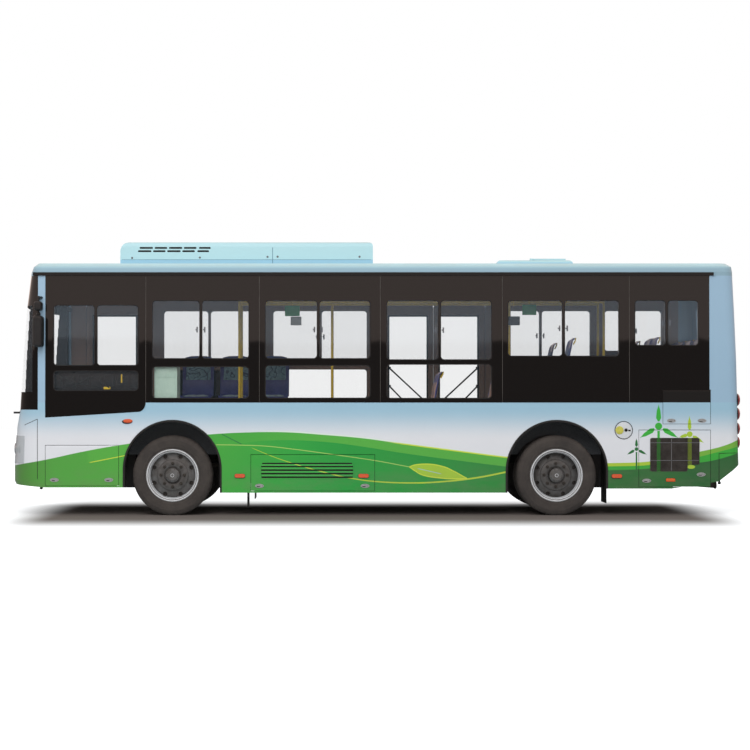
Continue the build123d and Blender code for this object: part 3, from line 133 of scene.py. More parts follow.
class Graph:
    """One material's nodes. Inputs may be numbers, colours or other nodes' sockets."""

    def __init__(self, name):
        self.material = bpy.data.materials.new(name)
        self.material.use_nodes = True
        self.nodes = self.material.node_tree.nodes
        self.links = self.material.node_tree.links
        self.nodes.clear()
        self.output = self.node("ShaderNodeOutputMaterial")
        self.place = self.node("ShaderNodeTexCoord").outputs["Object"]
        split = self.node("ShaderNodeSeparateXYZ", self.place)
        self.x, self.y, self.z = split.outputs

    def node(self, kind, *inputs, **settings):
        made = self.nodes.new(kind)
        for key, value in settings.items():
            setattr(made, key, value)
        for index, value in enumerate(inputs):
            self.feed(made.inputs[index], value)
        return made

    def feed(self, socket, value):
        if isinstance(value, bpy.types.NodeSocket):
            self.links.new(value, socket)
        elif value is not None:
            socket.default_value = value

    def math(self, operation, a, b=0.0, clamp=False):
        return self.node("ShaderNodeMath", a, b, operation=operation, use_clamp=clamp).outputs[0]

    def add(self, a, b, clamp=False):
        return self.math("ADD", a, b, clamp)

    def less(self, a, b):
        return self.math("SUBTRACT", a, b)

    def times(self, a, b):
        return self.math("MULTIPLY", a, b)

    def size(self, value):
        return self.math("ABSOLUTE", value)

    def most(self, *values):
        made = values[0]
        for value in values[1:]:
            made = self.math("MAXIMUM", made, value)
        return made

    def both(self, *values):
        made = values[0]
        for value in values[1:]:
            made = self.times(made, value)
        return made

    def rise(self, value, edge, soft):
        """0 below the edge and 1 above it, over a soft step."""
        linked = isinstance(edge, bpy.types.NodeSocket)
        low = self.less(edge, soft) if linked else edge - soft
        high = self.add(edge, soft) if linked else edge + soft
        made = self.node("ShaderNodeMapRange", value, low, high, 0.0, 1.0, interpolation_type="SMOOTHSTEP")
        return made.outputs[0]

    def fall(self, value, edge, soft):
        """1 below the edge and 0 above it."""
        return self.less(1.0, self.rise(value, edge, soft))

    def mix(self, factor, a, b):
        made = self.node("ShaderNodeMix", data_type="RGBA")
        self.feed(made.inputs[0], factor)
        self.feed(made.inputs[6], a)
        self.feed(made.inputs[7], b)
        return made.outputs[2]

    def ramp(self, value, stops):
        made = self.node("ShaderNodeValToRGB", value)
        elements = made.color_ramp.elements
        for _ in range(len(stops) - 2):
            elements.new(0.5)
        for element, (position, colour) in zip(elements, stops):
            element.position = position
            element.color = colour
        return made.outputs[0]

    def noise(self, scale, detail=3.0, rough=0.5, stretch=None):
        place = self.place
        if stretch:
            place = self.node("ShaderNodeVectorMath", place, stretch, operation="MULTIPLY").outputs[0]
        made = self.node("ShaderNodeTexNoise", place)
        made.inputs["Scale"].default_value = scale
        made.inputs["Detail"].default_value = detail
        made.inputs["Roughness"].default_value = rough
        return made.outputs[0]

    def line(self, points):
        """A smooth curve through (x, z) points, as a height for every x."""
        share = self.math("DIVIDE", self.less(self.x, NOSE), LENGTH)
        made = self.node("ShaderNodeFloatCurve", 1.0, share)
        curve = made.mapping.curves[0]
        places = [((x - NOSE) / LENGTH, z / CURVE_TOP) for x, z in points]
        for _ in range(len(places) - 2):
            curve.points.new(0.5, 0.5)
        for point, place in zip(curve.points, places):
            point.location = place
        made.mapping.update()
        return self.times(made.outputs[0], CURVE_TOP)

    def bump(self, height, strength, distance=0.001):
        made = self.node("ShaderNodeBump")
        self.feed(made.inputs["Strength"], strength)
        self.feed(made.inputs["Distance"], distance)
        self.feed(made.inputs["Height"], height)
        return made.outputs[0]

    def finish(self, **inputs):
        """Ends the graph in one Principled shader; names with a _ for a space."""
        shader = self.node("ShaderNodeBsdfPrincipled")
        for key, value in inputs.items():
            self.feed(shader.inputs[key.replace("_", " ")], value)
        self.links.new(shader.outputs[0], self.output.inputs[0])
        return self.material


def make_camera():
    camera = bpy.data.cameras.new("camera")
    camera.lens = CAMERA_LENS
    camera.shift_x, camera.shift_y = CAMERA_SHIFT
    camera.clip_end = 300.0
    placed = bpy.data.objects.new("camera", camera)
    placed.location = CAMERA_PLACE
    placed.rotation_euler = (math.pi / 2, 0, 0)
    bpy.context.scene.collection.objects.link(placed)
    bpy.context.scene.camera = placed


def make_world():
    """White to the camera, cool light on the paint, and in gloss a warm sky over a dark horizon."""
    world = bpy.data.worlds.new("world")
    bpy.context.scene.world = world
    world.use_nodes = True
    tree = world.node_tree
    tree.nodes.clear()
    rays = tree.nodes.new("ShaderNodeLightPath")
    coords = tree.nodes.new("ShaderNodeTexCoord")
    split = tree.nodes.new("ShaderNodeSeparateXYZ")
    step = tree.nodes.new("ShaderNodeMapRange")
    step.interpolation_type = "SMOOTHSTEP"
    for index, value in enumerate((HORIZON_SINE - HORIZON_SOFT, HORIZON_SINE + HORIZON_SOFT,
                                   HORIZON_LEVEL, GLOSS_LEVEL), 1):
        step.inputs[index].default_value = value
    tree.links.new(coords.outputs["Generated"], split.inputs[0])
    tree.links.new(split.outputs[2], step.inputs[0])
    shades = {}
    for name, colour, level in (("camera", (1, 1, 1, 1), 1.0), ("light", LIGHT_TINT, SKY_LEVEL),
                                ("gloss", GLOSS_TINT, None)):
        shades[name] = tree.nodes.new("ShaderNodeBackground")
        shades[name].inputs[0].default_value = colour
        if level is None:
            tree.links.new(step.outputs[0], shades[name].inputs[1])
        else:
            shades[name].inputs[1].default_value = level
    last = shades["light"]
    for ray, name in (("Is Glossy Ray", "gloss"), ("Is Camera Ray", "camera")):
        mix = tree.nodes.new("ShaderNodeMixShader")
        tree.links.new(rays.outputs[ray], mix.inputs[0])
        tree.links.new(last.outputs[0], mix.inputs[1])
        tree.links.new(shades[name].outputs[0], mix.inputs[2])
        last = mix
    output = tree.nodes.new("ShaderNodeOutputWorld")
    tree.links.new(last.outputs[0], output.inputs[0])


def make_floor():
    """A pale floor with a soft pool of shade under the bus, drawn deeper than the light alone makes it."""
    size = 60.0
    mesh = bpy.data.meshes.new("floor_plane")
    mesh.from_pydata([(-size, -size, 0), (size, -size, 0), (size, size, 0), (-size, size, 0)], [],
                     [(0, 1, 2, 3)])
    floor = bpy.data.objects.new("studio_floor", mesh)
    bpy.context.scene.collection.objects.link(floor)
    graph = Graph("studio_floor")
    across = graph.both(graph.rise(graph.y, SHADE_NEAR, SHADE_SOFT),
                        graph.fall(graph.y, SHADE_FAR, SHADE_SOFT))
    length = graph.both(graph.rise(graph.x, cad_low.x + SHADE_IN, SHADE_IN),
                        graph.fall(graph.x, cad_high.x - SHADE_IN, SHADE_IN))
    shade = graph.both(across, length)
    tone = graph.mix(shade, (0.86, 0.86, 0.87, 1), SHADE_TONE)
    rays = graph.node("ShaderNodeLightPath")
    seen = graph.mix(rays.outputs["Is Camera Ray"], (0.5, 0.5, 0.5, 1), tone)
    pale = graph.node("ShaderNodeBsdfDiffuse", seen)
    lift = graph.both(rays.outputs["Is Camera Ray"], graph.less(1.0, shade), FLOOR_GLOW)
    glow = graph.node("ShaderNodeEmission", (1, 1, 1, 1), lift)
    both = graph.node("ShaderNodeAddShader", pale.outputs[0], glow.outputs[0])
    graph.links.new(both.outputs[0], graph.output.inputs[0])
    mesh.materials.append(graph.material)


def make_lamps():
    """Two broad soft lamps: one high on the camera's side, one over the roof."""
    for name, place, aim, size, power in (
        ("key", (-3.0, -13.0, 9.0), (0, 0, 1.2), 9.0, KEY_POWER),
        ("fill", (4.0, 10.0, 9.0), (0, 0, 1.5), 9.0, KEY_POWER * 0.45),
    ):
        light = bpy.data.lights.new(name, "AREA")
        light.size = size
        light.energy = power
        lamp = bpy.data.objects.new(name, light)
        lamp.location = place
        lamp.rotation_euler = (Vector(aim) - Vector(place)).to_track_quat("-Z", "Y").to_euler()
        lamp.visible_glossy = False
        bpy.context.scene.collection.objects.link(lamp)


bpy.context.scene.view_settings.view_transform = "Standard"
make_camera()
make_world()
make_floor()
make_lamps()


# Livery, as curves of (x, z) in metres. It depends on x and z only, so both sides share it.
FRONT_TOP = ((-4.35, .56), (-4.2, .591), (-3.86, .652), (-3.4, .751), (-2.98, .826), (-2.85, .845),
             (-2.7, .868))
FRONT_YELLOW = ((-3.4, .608), (-3.27, .633), (-2.91, .704), (-2.7, .745))
BAND_TOP = ((-2.1, .935), (-1.9, .954), (-1.51, .975), (-1.04, .978), (-.58, .947), (-.11, .906), (.35, .842),
            (1.05, .75), (1.56, .685), (1.8, .66))
BAND_LOW = ((-1.75, .80), (-1.41, .866), (-1.04, .885), (-.58, .866), (-.11, .808), (.35, .734), (1.05, .64),
            (1.56, .576), (1.8, .55))
LINE_A = ((-1.9, .832), (-1.82, .831), (-1.56, .827), (-1.28, .817), (-.92, .778), (-.48, .719), (.03, .645),
          (.43, .571), (.6, .54))
LINE_B = ((-1.5, .83), (-1.41, .79), (-1.04, .645), (-.58, .511), (-.27, .441), (.03, .4), (.49, .383),
          (.81, .397), (1.17, .436), (1.57, .511), (1.8, .56))
LEAF_TOP = ((.40, .560), (.43, .571), (.52, .598), (.65, .604), (.80, .582), (.95, .522), (1.11, .436),
            (1.2, .40))
LEAF_LOW = ((.40, .585), (.43, .571), (.50, .522), (.62, .466), (.79, .441), (.95, .430), (1.11, .436),
            (1.2, .45))
REAR_TOP = ((2.6, .61), (2.77, .615), (3.25, .634), (3.84, .75), (3.97, .777), (4.12, .817), (4.28, .879),
            (4.36, .91))
REAR_MID = ((2.6, .575), (2.77, .577), (3.25, .593), (3.85, .693), (3.98, .726), (4.28, .805), (4.36, .83))
REAR_DARK = ((2.6, .53), (2.77, .533), (3.1, .542), (3.25, .552), (3.85, .623), (3.98, .643), (4.29, .732),
             (4.36, .76))
CURVE_TOP = 1.5         # no curve reaches this height

# Turbines: hub (x, z), hub radius, blade root and tip half-widths, tip points, tower foot z and half-width
TURBINES = (
    {"hub": (3.36, 1.049), "hub_r": .042, "root": .030, "tip": .014, "foot": .518, "tower": .015,
     "key": "green", "tips": ((3.36, 1.305), (3.14, .912), (3.59, .912))},
    {"hub": (3.10, .780), "hub_r": .022, "root": .017, "tip": .008, "foot": .540, "tower": .009,
     "key": "dark", "tips": ((3.10, .906), (2.99, .716), (3.22, .716))},
    {"hub": (3.725, .955), "hub_r": .034, "root": .022, "tip": .012, "foot": .597, "tower": .012,
     "key": "lime", "tips": ((3.722, 1.169), (3.60, .918), (3.89, .855))},
)
BLADE_START = 0.22      # share of a blade's length where it leaves its hub
BLADE_FAT = 0.38        # share of its length where it is widest

SKY_PALE = linear(160, 196, 215)
OFF_WHITE = linear(230, 230, 234)
SIDE_GREENS = ((0.0, linear(76, 118, 54)), (0.07, linear(84, 164, 66)), (0.20, linear(83, 172, 64)),
               (0.40, linear(45, 163, 66)), (0.62, linear(36, 140, 62)), (0.80, linear(42, 106, 54)),
               (1.0, linear(46, 100, 52)))
FRESH = linear(94, 180, 70)
MID_REAR = linear(60, 170, 60)
LIME = linear(176, 205, 60)
YELLOW = linear(206, 222, 70)
HALO = linear(226, 240, 222)
TURBINE_TINTS = {"green": linear(60, 178, 62), "dark": linear(40, 110, 56), "lime": linear(172, 202, 58)}
EDGE = 0.0025


def blade(graph, hub, tip, root, end):
    """One tapering blade: rounded, narrow at its hub, widest at about a third."""
    dx, dz = tip[0] - hub[0], tip[1] - hub[1]
    length = math.hypot(dx, dz)
    ux, uz = dx / length, dz / length
    px = graph.less(graph.x, hub[0])
    pz = graph.less(graph.z, hub[1])
    run = graph.add(graph.times(px, ux), graph.times(pz, uz))
    off = graph.size(graph.less(graph.times(px, uz), graph.times(pz, ux)))
    share = graph.math("DIVIDE", run, length)
    grow = graph.node("ShaderNodeMapRange", share, BLADE_START, BLADE_FAT, 0.3, 1.0).outputs[0]
    shrink = graph.node("ShaderNodeMapRange", share, BLADE_FAT, 1.0, root, end).outputs[0]
    point = graph.node("ShaderNodeMapRange", share, .70, 1.0, 1.0, .12,
                       interpolation_type="SMOOTHSTEP").outputs[0]
    width = graph.times(graph.times(grow, shrink), point)
    return graph.both(graph.fall(off, width, EDGE), graph.rise(share, BLADE_START, .01),
                      graph.fall(share, 1.0, .01))


def disc(graph, centre, radius, stretch=1.0):
    """A round spot; stretch above 1 makes it wider than it is high."""
    px = graph.math("DIVIDE", graph.less(graph.x, centre[0]), stretch)
    pz = graph.less(graph.z, centre[1])
    away = graph.math("SQRT", graph.add(graph.times(px, px), graph.times(pz, pz)))
    return graph.fall(away, radius, EDGE)


def span(graph, value, low, high, soft=EDGE):
    return graph.both(graph.rise(value, low, soft), graph.fall(value, high, soft))


def stroke(graph, points, half):
    """A line of the given half-width along a curve."""
    off = graph.size(graph.less(graph.z, graph.line(points)))
    return graph.fall(off, half, EDGE)


def turbine(graph, row):
    hub = row["hub"]
    parts = [disc(graph, hub, row["hub_r"])]
    parts += [blade(graph, hub, tip, row["root"], row["tip"]) for tip in row["tips"]]
    mast = graph.size(graph.less(graph.x, hub[0]))
    top = hub[1] - row["hub_r"] - .012
    foot = graph.both(graph.fall(mast, row["tower"], EDGE), span(graph, graph.z, row["foot"], top))
    return graph.most(*parts, foot)


def livery(graph):
    """The painted sides: pale sky fading to white, over green hills, lines and turbines."""
    sky = graph.rise(graph.z, 1.075, 0.20)
    colour = graph.mix(sky, OFF_WHITE, SKY_PALE)
    colour = graph.mix(graph.rise(graph.z, BELT + .004, .002), colour, linear(160, 190, 212))
    share = graph.math("DIVIDE", graph.less(graph.x, NOSE), LENGTH)
    greens = graph.ramp(share, SIDE_GREENS)
    drift = graph.times(graph.less(graph.noise(0.9, 2.0), 0.5), 0.30)
    greens = graph.mix(graph.add(0.02, drift, clamp=True), greens, linear(110, 190, 70))

    front = span(graph, graph.x, NOSE - 1, -2.6)
    middle = span(graph, graph.x, -2.2, 2.0)
    rear = graph.rise(graph.x, 2.3, EDGE)

    # Front corner: one green hill with a lighter strip under a yellow line
    top = graph.line(FRONT_TOP)
    hill = graph.both(front, graph.fall(graph.z, top, EDGE))
    colour = graph.mix(hill, colour, greens)
    yellow = graph.line(FRONT_YELLOW)
    swathe = graph.both(hill, graph.rise(graph.x, -3.34, .03), graph.rise(graph.z, yellow, EDGE))
    colour = graph.mix(graph.both(swathe, 0.55), colour, FRESH)
    colour = graph.mix(graph.both(front, graph.rise(graph.x, -3.32, .02),
                                  stroke(graph, FRONT_YELLOW, .005)), colour, YELLOW)

    # Middle: a broad hill, its light band, two running lines and a leaf
    top = graph.line(BAND_TOP)
    low = graph.line(BAND_LOW)
    halo = graph.both(middle, graph.rise(graph.x, -1.2, .4),
                      span(graph, graph.z, top, graph.add(top, .016)))
    colour = graph.mix(graph.both(halo, 0.8), colour, HALO)
    hill = graph.both(middle, graph.fall(graph.z, top, EDGE))
    colour = graph.mix(hill, colour, greens)
    band = graph.both(hill, graph.rise(graph.z, low, EDGE))
    colour = graph.mix(graph.both(band, graph.rise(graph.x, -1.3, .9), 0.85), colour, FRESH)
    edge = graph.both(graph.rise(graph.x, .25, .15), stroke(graph, BAND_TOP, .007))
    colour = graph.mix(graph.both(middle, edge), colour, YELLOW)
    line_a = graph.both(span(graph, graph.x, -1.84, .45, .01), stroke(graph, LINE_A, .0045))
    colour = graph.mix(graph.both(middle, line_a, 0.85), colour, linear(180, 214, 110))
    thick = graph.node("ShaderNodeMapRange", graph.x, -1.4, 1.2, .003, .0095).outputs[0]
    line_b = graph.both(graph.rise(graph.x, -1.41, .03), stroke(graph, LINE_B, thick))
    colour = graph.mix(graph.both(middle, line_b, 0.9), colour, linear(196, 216, 66))
    leaf_top = graph.line(LEAF_TOP)
    leaf_low = graph.line(LEAF_LOW)
    in_leaf = graph.both(span(graph, graph.x, .43, 1.11), span(graph, graph.z, leaf_low, leaf_top))
    colour = graph.mix(in_leaf, colour, linear(166, 200, 62))
    veins = graph.most(stroke(graph, LEAF_TOP, .006), stroke(graph, LEAF_LOW, .006))
    colour = graph.mix(graph.both(span(graph, graph.x, .43, 1.11), veins), colour, YELLOW)
    lean = graph.less(graph.z, graph.less(.551, graph.times(graph.less(graph.x, .533), .226)))
    streak = graph.both(span(graph, graph.x, .533, .80, .02),
                        graph.fall(graph.size(lean), .004, EDGE))
    colour = graph.mix(graph.both(streak, .8), colour, linear(170, 205, 220))

    # Rear corner: three stacked greens and the turbines
    fade = graph.mix(graph.rise(graph.x, 3.55, .4), LIME, linear(120, 180, 66))
    for curve, tint in ((REAR_TOP, fade), (REAR_MID, MID_REAR), (REAR_DARK, greens)):
        colour = graph.mix(graph.both(rear, graph.fall(graph.z, graph.line(curve), EDGE)), colour, tint)
    for row in TURBINES:
        colour = graph.mix(graph.both(rear, turbine(graph, row)), colour, TURBINE_TINTS[row["key"]])
    colour = graph.mix(graph.both(rear, disc(graph, (3.74, .571), .022, 2.2)), colour, LIME)
    return colour


def paint_wear(graph, colour):
    """Faint road dust low down and a slight unevenness of the paint."""
    low = graph.fall(graph.z, .52, .22)
    cloud = graph.noise(3.0, 5.0, .6, stretch=(1.0, 1.0, 2.4))
    dust = graph.both(low, graph.rise(cloud, .50, .18), .22)
    colour = graph.mix(dust, colour, linear(120, 112, 98))
    shade = graph.add(.975, graph.times(graph.noise(1.6, 3.0), .05))
    tone = graph.node("ShaderNodeMix", data_type="RGBA", blend_type="MULTIPLY")
    graph.feed(tone.inputs[0], 1.0)
    graph.feed(tone.inputs[6], colour)
    grey = graph.node("ShaderNodeCombineColor", shade, shade, shade)
    graph.feed(tone.inputs[7], grey.outputs[0])
    rough = graph.add(.26, graph.add(graph.both(dust, .9), graph.both(graph.noise(9.0, 4.0), .08)))
    return tone.outputs[2], rough


def body_paint(name="body_paint", dark_above=None):
    """Livery over a smooth clear coat, dark inside; dark_above blacks it out above a height."""
    graph = Graph(name)
    colour, rough = paint_wear(graph, livery(graph))
    if dark_above:
        colour = graph.mix(graph.rise(graph.z, dark_above, .001), colour, linear(11, 11, 11))
    inner = graph.both(graph.fall(graph.size(graph.y), SIDE - .036, .003),
                       graph.rise(graph.x, NOSE + .44, .01),
                       graph.fall(graph.x, NOSE + LENGTH - .30, .01), graph.rise(graph.z, .60, .01))
    colour = graph.mix(inner, colour, linear(139, 114, 99))
    waves = graph.noise(2.2, 2.0, stretch=(1.0, 1.0, .5))
    return graph.finish(Base_Color=colour, Roughness=rough, Specular_IOR_Level=.3, Coat_Weight=.25,
                        Coat_Roughness=.05, Normal=graph.bump(waves, .05, .01))


def roof_paint():
    """Pale sky blue, a shade deeper low on the unit's sides, with dust on what faces up and a painted shade
    along the roof's edge above the side glass.
    """
    graph = Graph("roof_paint")
    unit = graph.rise(graph.z, ROOF + .012, .003)
    skirt = graph.both(unit, graph.fall(graph.z, ROOF + .064, .002))
    # Painted shade: the roof's edge near the sides darkens towards the gutter.
    painted_eave_shade = graph.both(graph.fall(graph.z, ROOF - .045, .035),
                      graph.rise(graph.size(graph.y), SIDE - .25, .05))
    colour = graph.mix(skirt, linear(187, 223, 229), linear(160, 203, 224))
    geometry = graph.node("ShaderNodeNewGeometry")
    facing = graph.node("ShaderNodeSeparateXYZ", geometry.outputs["Normal"]).outputs[2]
    settled = graph.both(graph.rise(facing, .75, .2), graph.rise(graph.noise(1.7, 6.0, .6), .48, .2), .35)
    colour = graph.mix(settled, colour, linear(168, 178, 172))
    rough = graph.add(.34, graph.both(graph.noise(14.0, 4.0), .14))
    # The painted shade is laid on the roof's edge here.
    colour = graph.mix(painted_eave_shade, colour, linear(146, 176, 190))
    gutter = graph.both(graph.fall(graph.z, GUTTER + .038, .002),
                        graph.rise(graph.size(graph.y), SIDE - .10, .01),
                        graph.rise(graph.x, -3.996, .003), graph.fall(graph.x, 4.008, .003))
    colour = graph.mix(gutter, colour, linear(13, 12, 12))
    lining = graph.both(graph.fall(graph.size(graph.y), SIDE - .14, .004),
                        graph.fall(graph.z, ROOF - .03, .004),
                        graph.rise(graph.x, NOSE + .45, .01), graph.fall(graph.x, NOSE + LENGTH - .32, .01))
    colour = graph.mix(lining, colour, linear(139, 114, 99))
    return graph.finish(Base_Color=colour, Roughness=rough, Specular_IOR_Level=.35,
                        Coat_Weight=.25, Coat_Roughness=.12,
                        Normal=graph.bump(graph.noise(2.6, 3.0), .06, .01))


def black_gloss():
    """Black ceramic edge of bonded glass."""
    graph = Graph("frit")
    speck = graph.noise(60.0, 3.0)
    colour = graph.mix(speck, linear(9, 9, 10), linear(15, 14, 14))
    rough = graph.add(.015, graph.both(graph.noise(2.0, 4.0), .012))
    return graph.finish(Base_Color=colour, Roughness=rough, Specular_IOR_Level=.5,
                        Normal=graph.bump(graph.noise(.9, 1.0), .02, .01))


def clear_glass(name="glazing", alpha=.10, tint=(150, 182, 200), mirror=.7):
    """Thin clear sheet: mostly open, with a faint coating that keeps its reflection at that low cover."""
    graph = Graph(name)
    smear = graph.noise(1.3, 5.0, .6, stretch=(1.0, 1.0, 2.0))
    rough = graph.add(.015, graph.both(smear, .03))
    return graph.finish(Base_Color=linear(*tint), Roughness=rough, Alpha=alpha, Metallic=mirror,
                        Normal=graph.bump(smear, .005, .01))


def plain(name, colour, other, rough, scale=20.0, bump=.2, metallic=0.0, coat=0.0):
    """A two-tone material with a fine grain, for painted, moulded and cast parts."""
    graph = Graph(name)
    cloud = graph.noise(scale, 5.0, .6)
    tone = graph.mix(graph.rise(cloud, .5, .25), linear(*colour), linear(*other))
    grain = graph.noise(scale * 12, 3.0)
    roughness = graph.add(rough - .06, graph.both(cloud, .12))
    return graph.finish(Base_Color=tone, Roughness=roughness, Metallic=metallic, Coat_Weight=coat,
                        Normal=graph.bump(grain, bump))


def underside_paint():
    """Chassis black with road dirt gathered low down."""
    graph = Graph("frame_steel")
    cloud = graph.noise(5.0, 6.0, .65)
    colour = graph.mix(graph.rise(cloud, .5, .2), linear(24, 24, 25), linear(42, 38, 34))
    dirt = graph.both(graph.fall(graph.z, .55, .3), graph.rise(graph.noise(11.0, 5.0, .6), .5, .15), .7)
    colour = graph.mix(dirt, colour, linear(74, 62, 50))
    return graph.finish(Base_Color=colour, Roughness=graph.add(.5, graph.both(cloud, .3)),
                        Normal=graph.bump(graph.noise(160.0, 4.0), .35))


def cast_parts():
    """Rough dark castings: axles, knuckles, the drive block."""
    graph = Graph("cast_parts")
    cloud = graph.noise(8.0, 6.0, .7)
    colour = graph.mix(graph.rise(cloud, .52, .2), linear(38, 37, 36), linear(66, 58, 48))
    return graph.finish(Base_Color=colour, Roughness=graph.add(.55, graph.both(cloud, .25)), Metallic=.25,
                        Normal=graph.bump(graph.noise(90.0, 5.0, .7), .6, .002))


def rubber_tyre():
    """Worn grey-brown rubber, two-toned in random patches."""
    graph = Graph("tyre")
    cloud = graph.noise(6.0, 6.0, .65)
    colour = graph.mix(graph.rise(cloud, .5, .25), linear(52, 48, 46), linear(70, 64, 60))
    grain = graph.noise(220.0, 4.0, .7)
    return graph.finish(Base_Color=colour, Roughness=graph.add(.62, graph.both(cloud, .2)),
                        Normal=graph.bump(grain, .25))


def wheel_paint():
    """Grey pressed steel, two-toned in random patches."""
    graph = Graph("wheel_steel")
    cloud = graph.noise(12.0, 5.0, .6)
    colour = graph.mix(graph.rise(cloud, .5, .25), linear(112, 112, 112), linear(88, 85, 82))
    return graph.finish(Base_Color=colour, Roughness=graph.add(.38, graph.both(cloud, .2)), Metallic=.35,
                        Normal=graph.bump(graph.noise(240.0, 4.0), .2))


def rail_paint():
    """Yellow enamel on tube."""
    return plain("rail_paint", (232, 196, 40), (216, 178, 34), .34, 14.0, .05, coat=.4)


def lamp_glass(name, colour):
    """A moulded lens with fine ribs."""
    graph = Graph(name)
    ribs = graph.math("SINE", graph.times(graph.add(graph.z, graph.y), 900.0))
    return graph.finish(Base_Color=linear(*colour), Roughness=.12, Coat_Weight=.8, Coat_Roughness=.03,
                        Normal=graph.bump(ribs, .25, .0008))


def floor_vinyl():
    """Speckled grey sheet with raised dots along the aisle."""
    graph = Graph("floor_cover")
    speck = graph.node("ShaderNodeTexVoronoi", graph.place)
    speck.inputs["Scale"].default_value = 160.0
    dots = graph.node("ShaderNodeTexVoronoi", graph.place)
    dots.inputs["Scale"].default_value = 30.0
    dots.inputs["Randomness"].default_value = 0.0
    stud = graph.fall(dots.outputs[0], .011, .003)
    cloud = graph.noise(3.0, 5.0)
    colour = graph.mix(graph.rise(speck.outputs[0], .5, .25), linear(108, 112, 116), linear(82, 86, 92))
    colour = graph.mix(graph.both(cloud, .25), colour, linear(70, 70, 70))
    return graph.finish(Base_Color=colour, Roughness=.55, Normal=graph.bump(stud, .35, .002))


def shell_plastic():
    """Blue-violet moulded seat shells, a little scuffed."""
    return plain("seat_plastic", (72, 78, 138), (60, 64, 118), .36, 10.0, .1, coat=.2)


def seat_fabric(name, ground, marks, second):
    """Woven plush with scattered coloured figures."""
    graph = Graph(name)
    weave = graph.add(graph.math("SINE", graph.times(graph.add(graph.y, graph.x), 2400.0)),
                       graph.math("SINE", graph.times(graph.z, 2400.0)))
    cells = graph.node("ShaderNodeTexVoronoi", graph.place, feature="F1")
    cells.inputs["Scale"].default_value = 26.0
    spots = graph.fall(cells.outputs[0], .012, .004)
    pick = graph.rise(graph.noise(14.0, 2.0), .52, .02)
    swirl = graph.rise(graph.math("SINE", graph.times(graph.noise(5.0, 2.0), 42.0)), .82, .08)
    colour = graph.mix(graph.rise(graph.noise(40.0, 4.0), .5, .2), linear(*ground),
                       linear(*(v * .82 for v in ground)))
    colour = graph.mix(graph.both(swirl, .75), colour, linear(*second))
    colour = graph.mix(graph.both(spots, pick), colour, linear(*marks))
    return graph.finish(Base_Color=colour, Roughness=.9, Sheen_Weight=.3,
                        Normal=graph.bump(weave, .35, .0006))


def paint_node(name, material):
    made = nodes[name].data
    made.materials.clear()
    made.materials.append(material)


def paint_frame():
    """Every visible CAD node gets its material. Returns them by node."""
    paint = body_paint()
    steel = underside_paint()
    cast = cast_parts()
    glazing = clear_glass()
    rubber = plain("rubber", (22, 22, 23), (34, 33, 32), .6, 30.0, .3)
    plastic = plain("black_plastic", (20, 20, 21), (30, 30, 31), .42, 40.0, .3)
    groups = (
        (paint, ("skirt_left", "skirt_right", "band_left", "band_right", "front_panel", "rear_panel",
                 "rear_bumper", "engine_lid", "door_front", "door_mid_front", "door_mid_rear",
                 "flap_left_front", "flap_left_mid", "flap_left_rear_low", "flap_right_mid",
                 "flap_right_rear_low")),
        (body_paint("flap_paint", BELT + .002), ("flap_left_rear_high",)),
        (roof_paint(), ("roof", "ac_unit", "roof_hatch", "hatch_lid")),
        (glazing, ("glass_left", "glass_right", "windshield", "rear_window", "door_front_glass",
                   "door_mid_front_glass", "door_mid_rear_glass")),
        (rubber_tyre(), ("tyre_front_left", "tyre_front_right", "tyre_rear_left", "tyre_rear_right")),
        (wheel_paint(), ("rim_front_left", "rim_front_right", "rim_rear_left", "rim_rear_right")),
        (steel, ("chassis_frame", "fuel_tank")),
        (cast, ("front_axle", "rear_axle", "knuckle_left", "knuckle_right", "power_unit")),
        (plastic, ("dashboard", "mirrors", "wipers", "steering_wheel")),
        (rubber, ("mudflaps", "arch_trims")),
        (lamp_glass("lamp_red", (150, 16, 14)), ("tail_lamps",)),
        (lamp_glass("lamp_clear", (188, 192, 196)), ("headlamps",)),
        (lamp_glass("lamp_amber", (222, 96, 24)), ("side_lamps",)),
        (shell_plastic(), ("seats",)),
        (floor_vinyl(), ("floor",)),
        (rail_paint(), ("grab_rails",)),
        (plain("cabinet_paint", (186, 208, 192), (172, 196, 180), .45, 12.0, .1), ("cabinet",)),
        (seat_fabric("driver_fabric", (46, 48, 60), (90, 96, 120), (56, 60, 78)), ("driver_seat",)),
    )
    for material, names in groups:
        for name in names:
            paint_node(name, material)
    return {name: material for material, names in groups for name in names}


MATERIALS = paint_frame()


# Shapes. Every mesh made here rides a body.
SIDE_INSETS = ((1.040, 0.0), (1.239, 0.0), (1.840, .003), (2.410, .010), (2.866, .020), (2.930, .050),
               (2.972, .130))


def side_plane(z):
    """Half-width of the body side at a height; it leans in slightly above the belt."""
    if z <= SIDE_INSETS[0][0]:
        return SIDE
    for (low, inset_low), (high, inset_high) in zip(SIDE_INSETS, SIDE_INSETS[1:]):
        if z <= high:
            return SIDE - inset_low - (inset_high - inset_low) * (z - low) / (high - low)
    return SIDE - SIDE_INSETS[-1][1]


def turns(count):
    """Angles that share out a full turn."""
    return [math.tau * k / count for k in range(count)]


def show(name, mesh, body):
    """Puts a mesh into the scene as one object."""
    made = bpy.data.objects.new(name, mesh)
    bpy.context.scene.collection.objects.link(made)
    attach(made, body)
    return made


def add(name, verts, faces, material, body):
    """A smooth mesh of verts and faces, with its faces turned outward."""
    mesh = bpy.data.meshes.new(name)
    mesh.from_pydata([tuple(v) for v in verts], [], faces)
    mesh.materials.append(material)
    mesh.shade_smooth()
    bm = bmesh.new()
    bm.from_mesh(mesh)
    bmesh.ops.recalc_face_normals(bm, faces=bm.faces)
    bm.to_mesh(mesh)
    bm.free()
    return show(name, mesh, body)


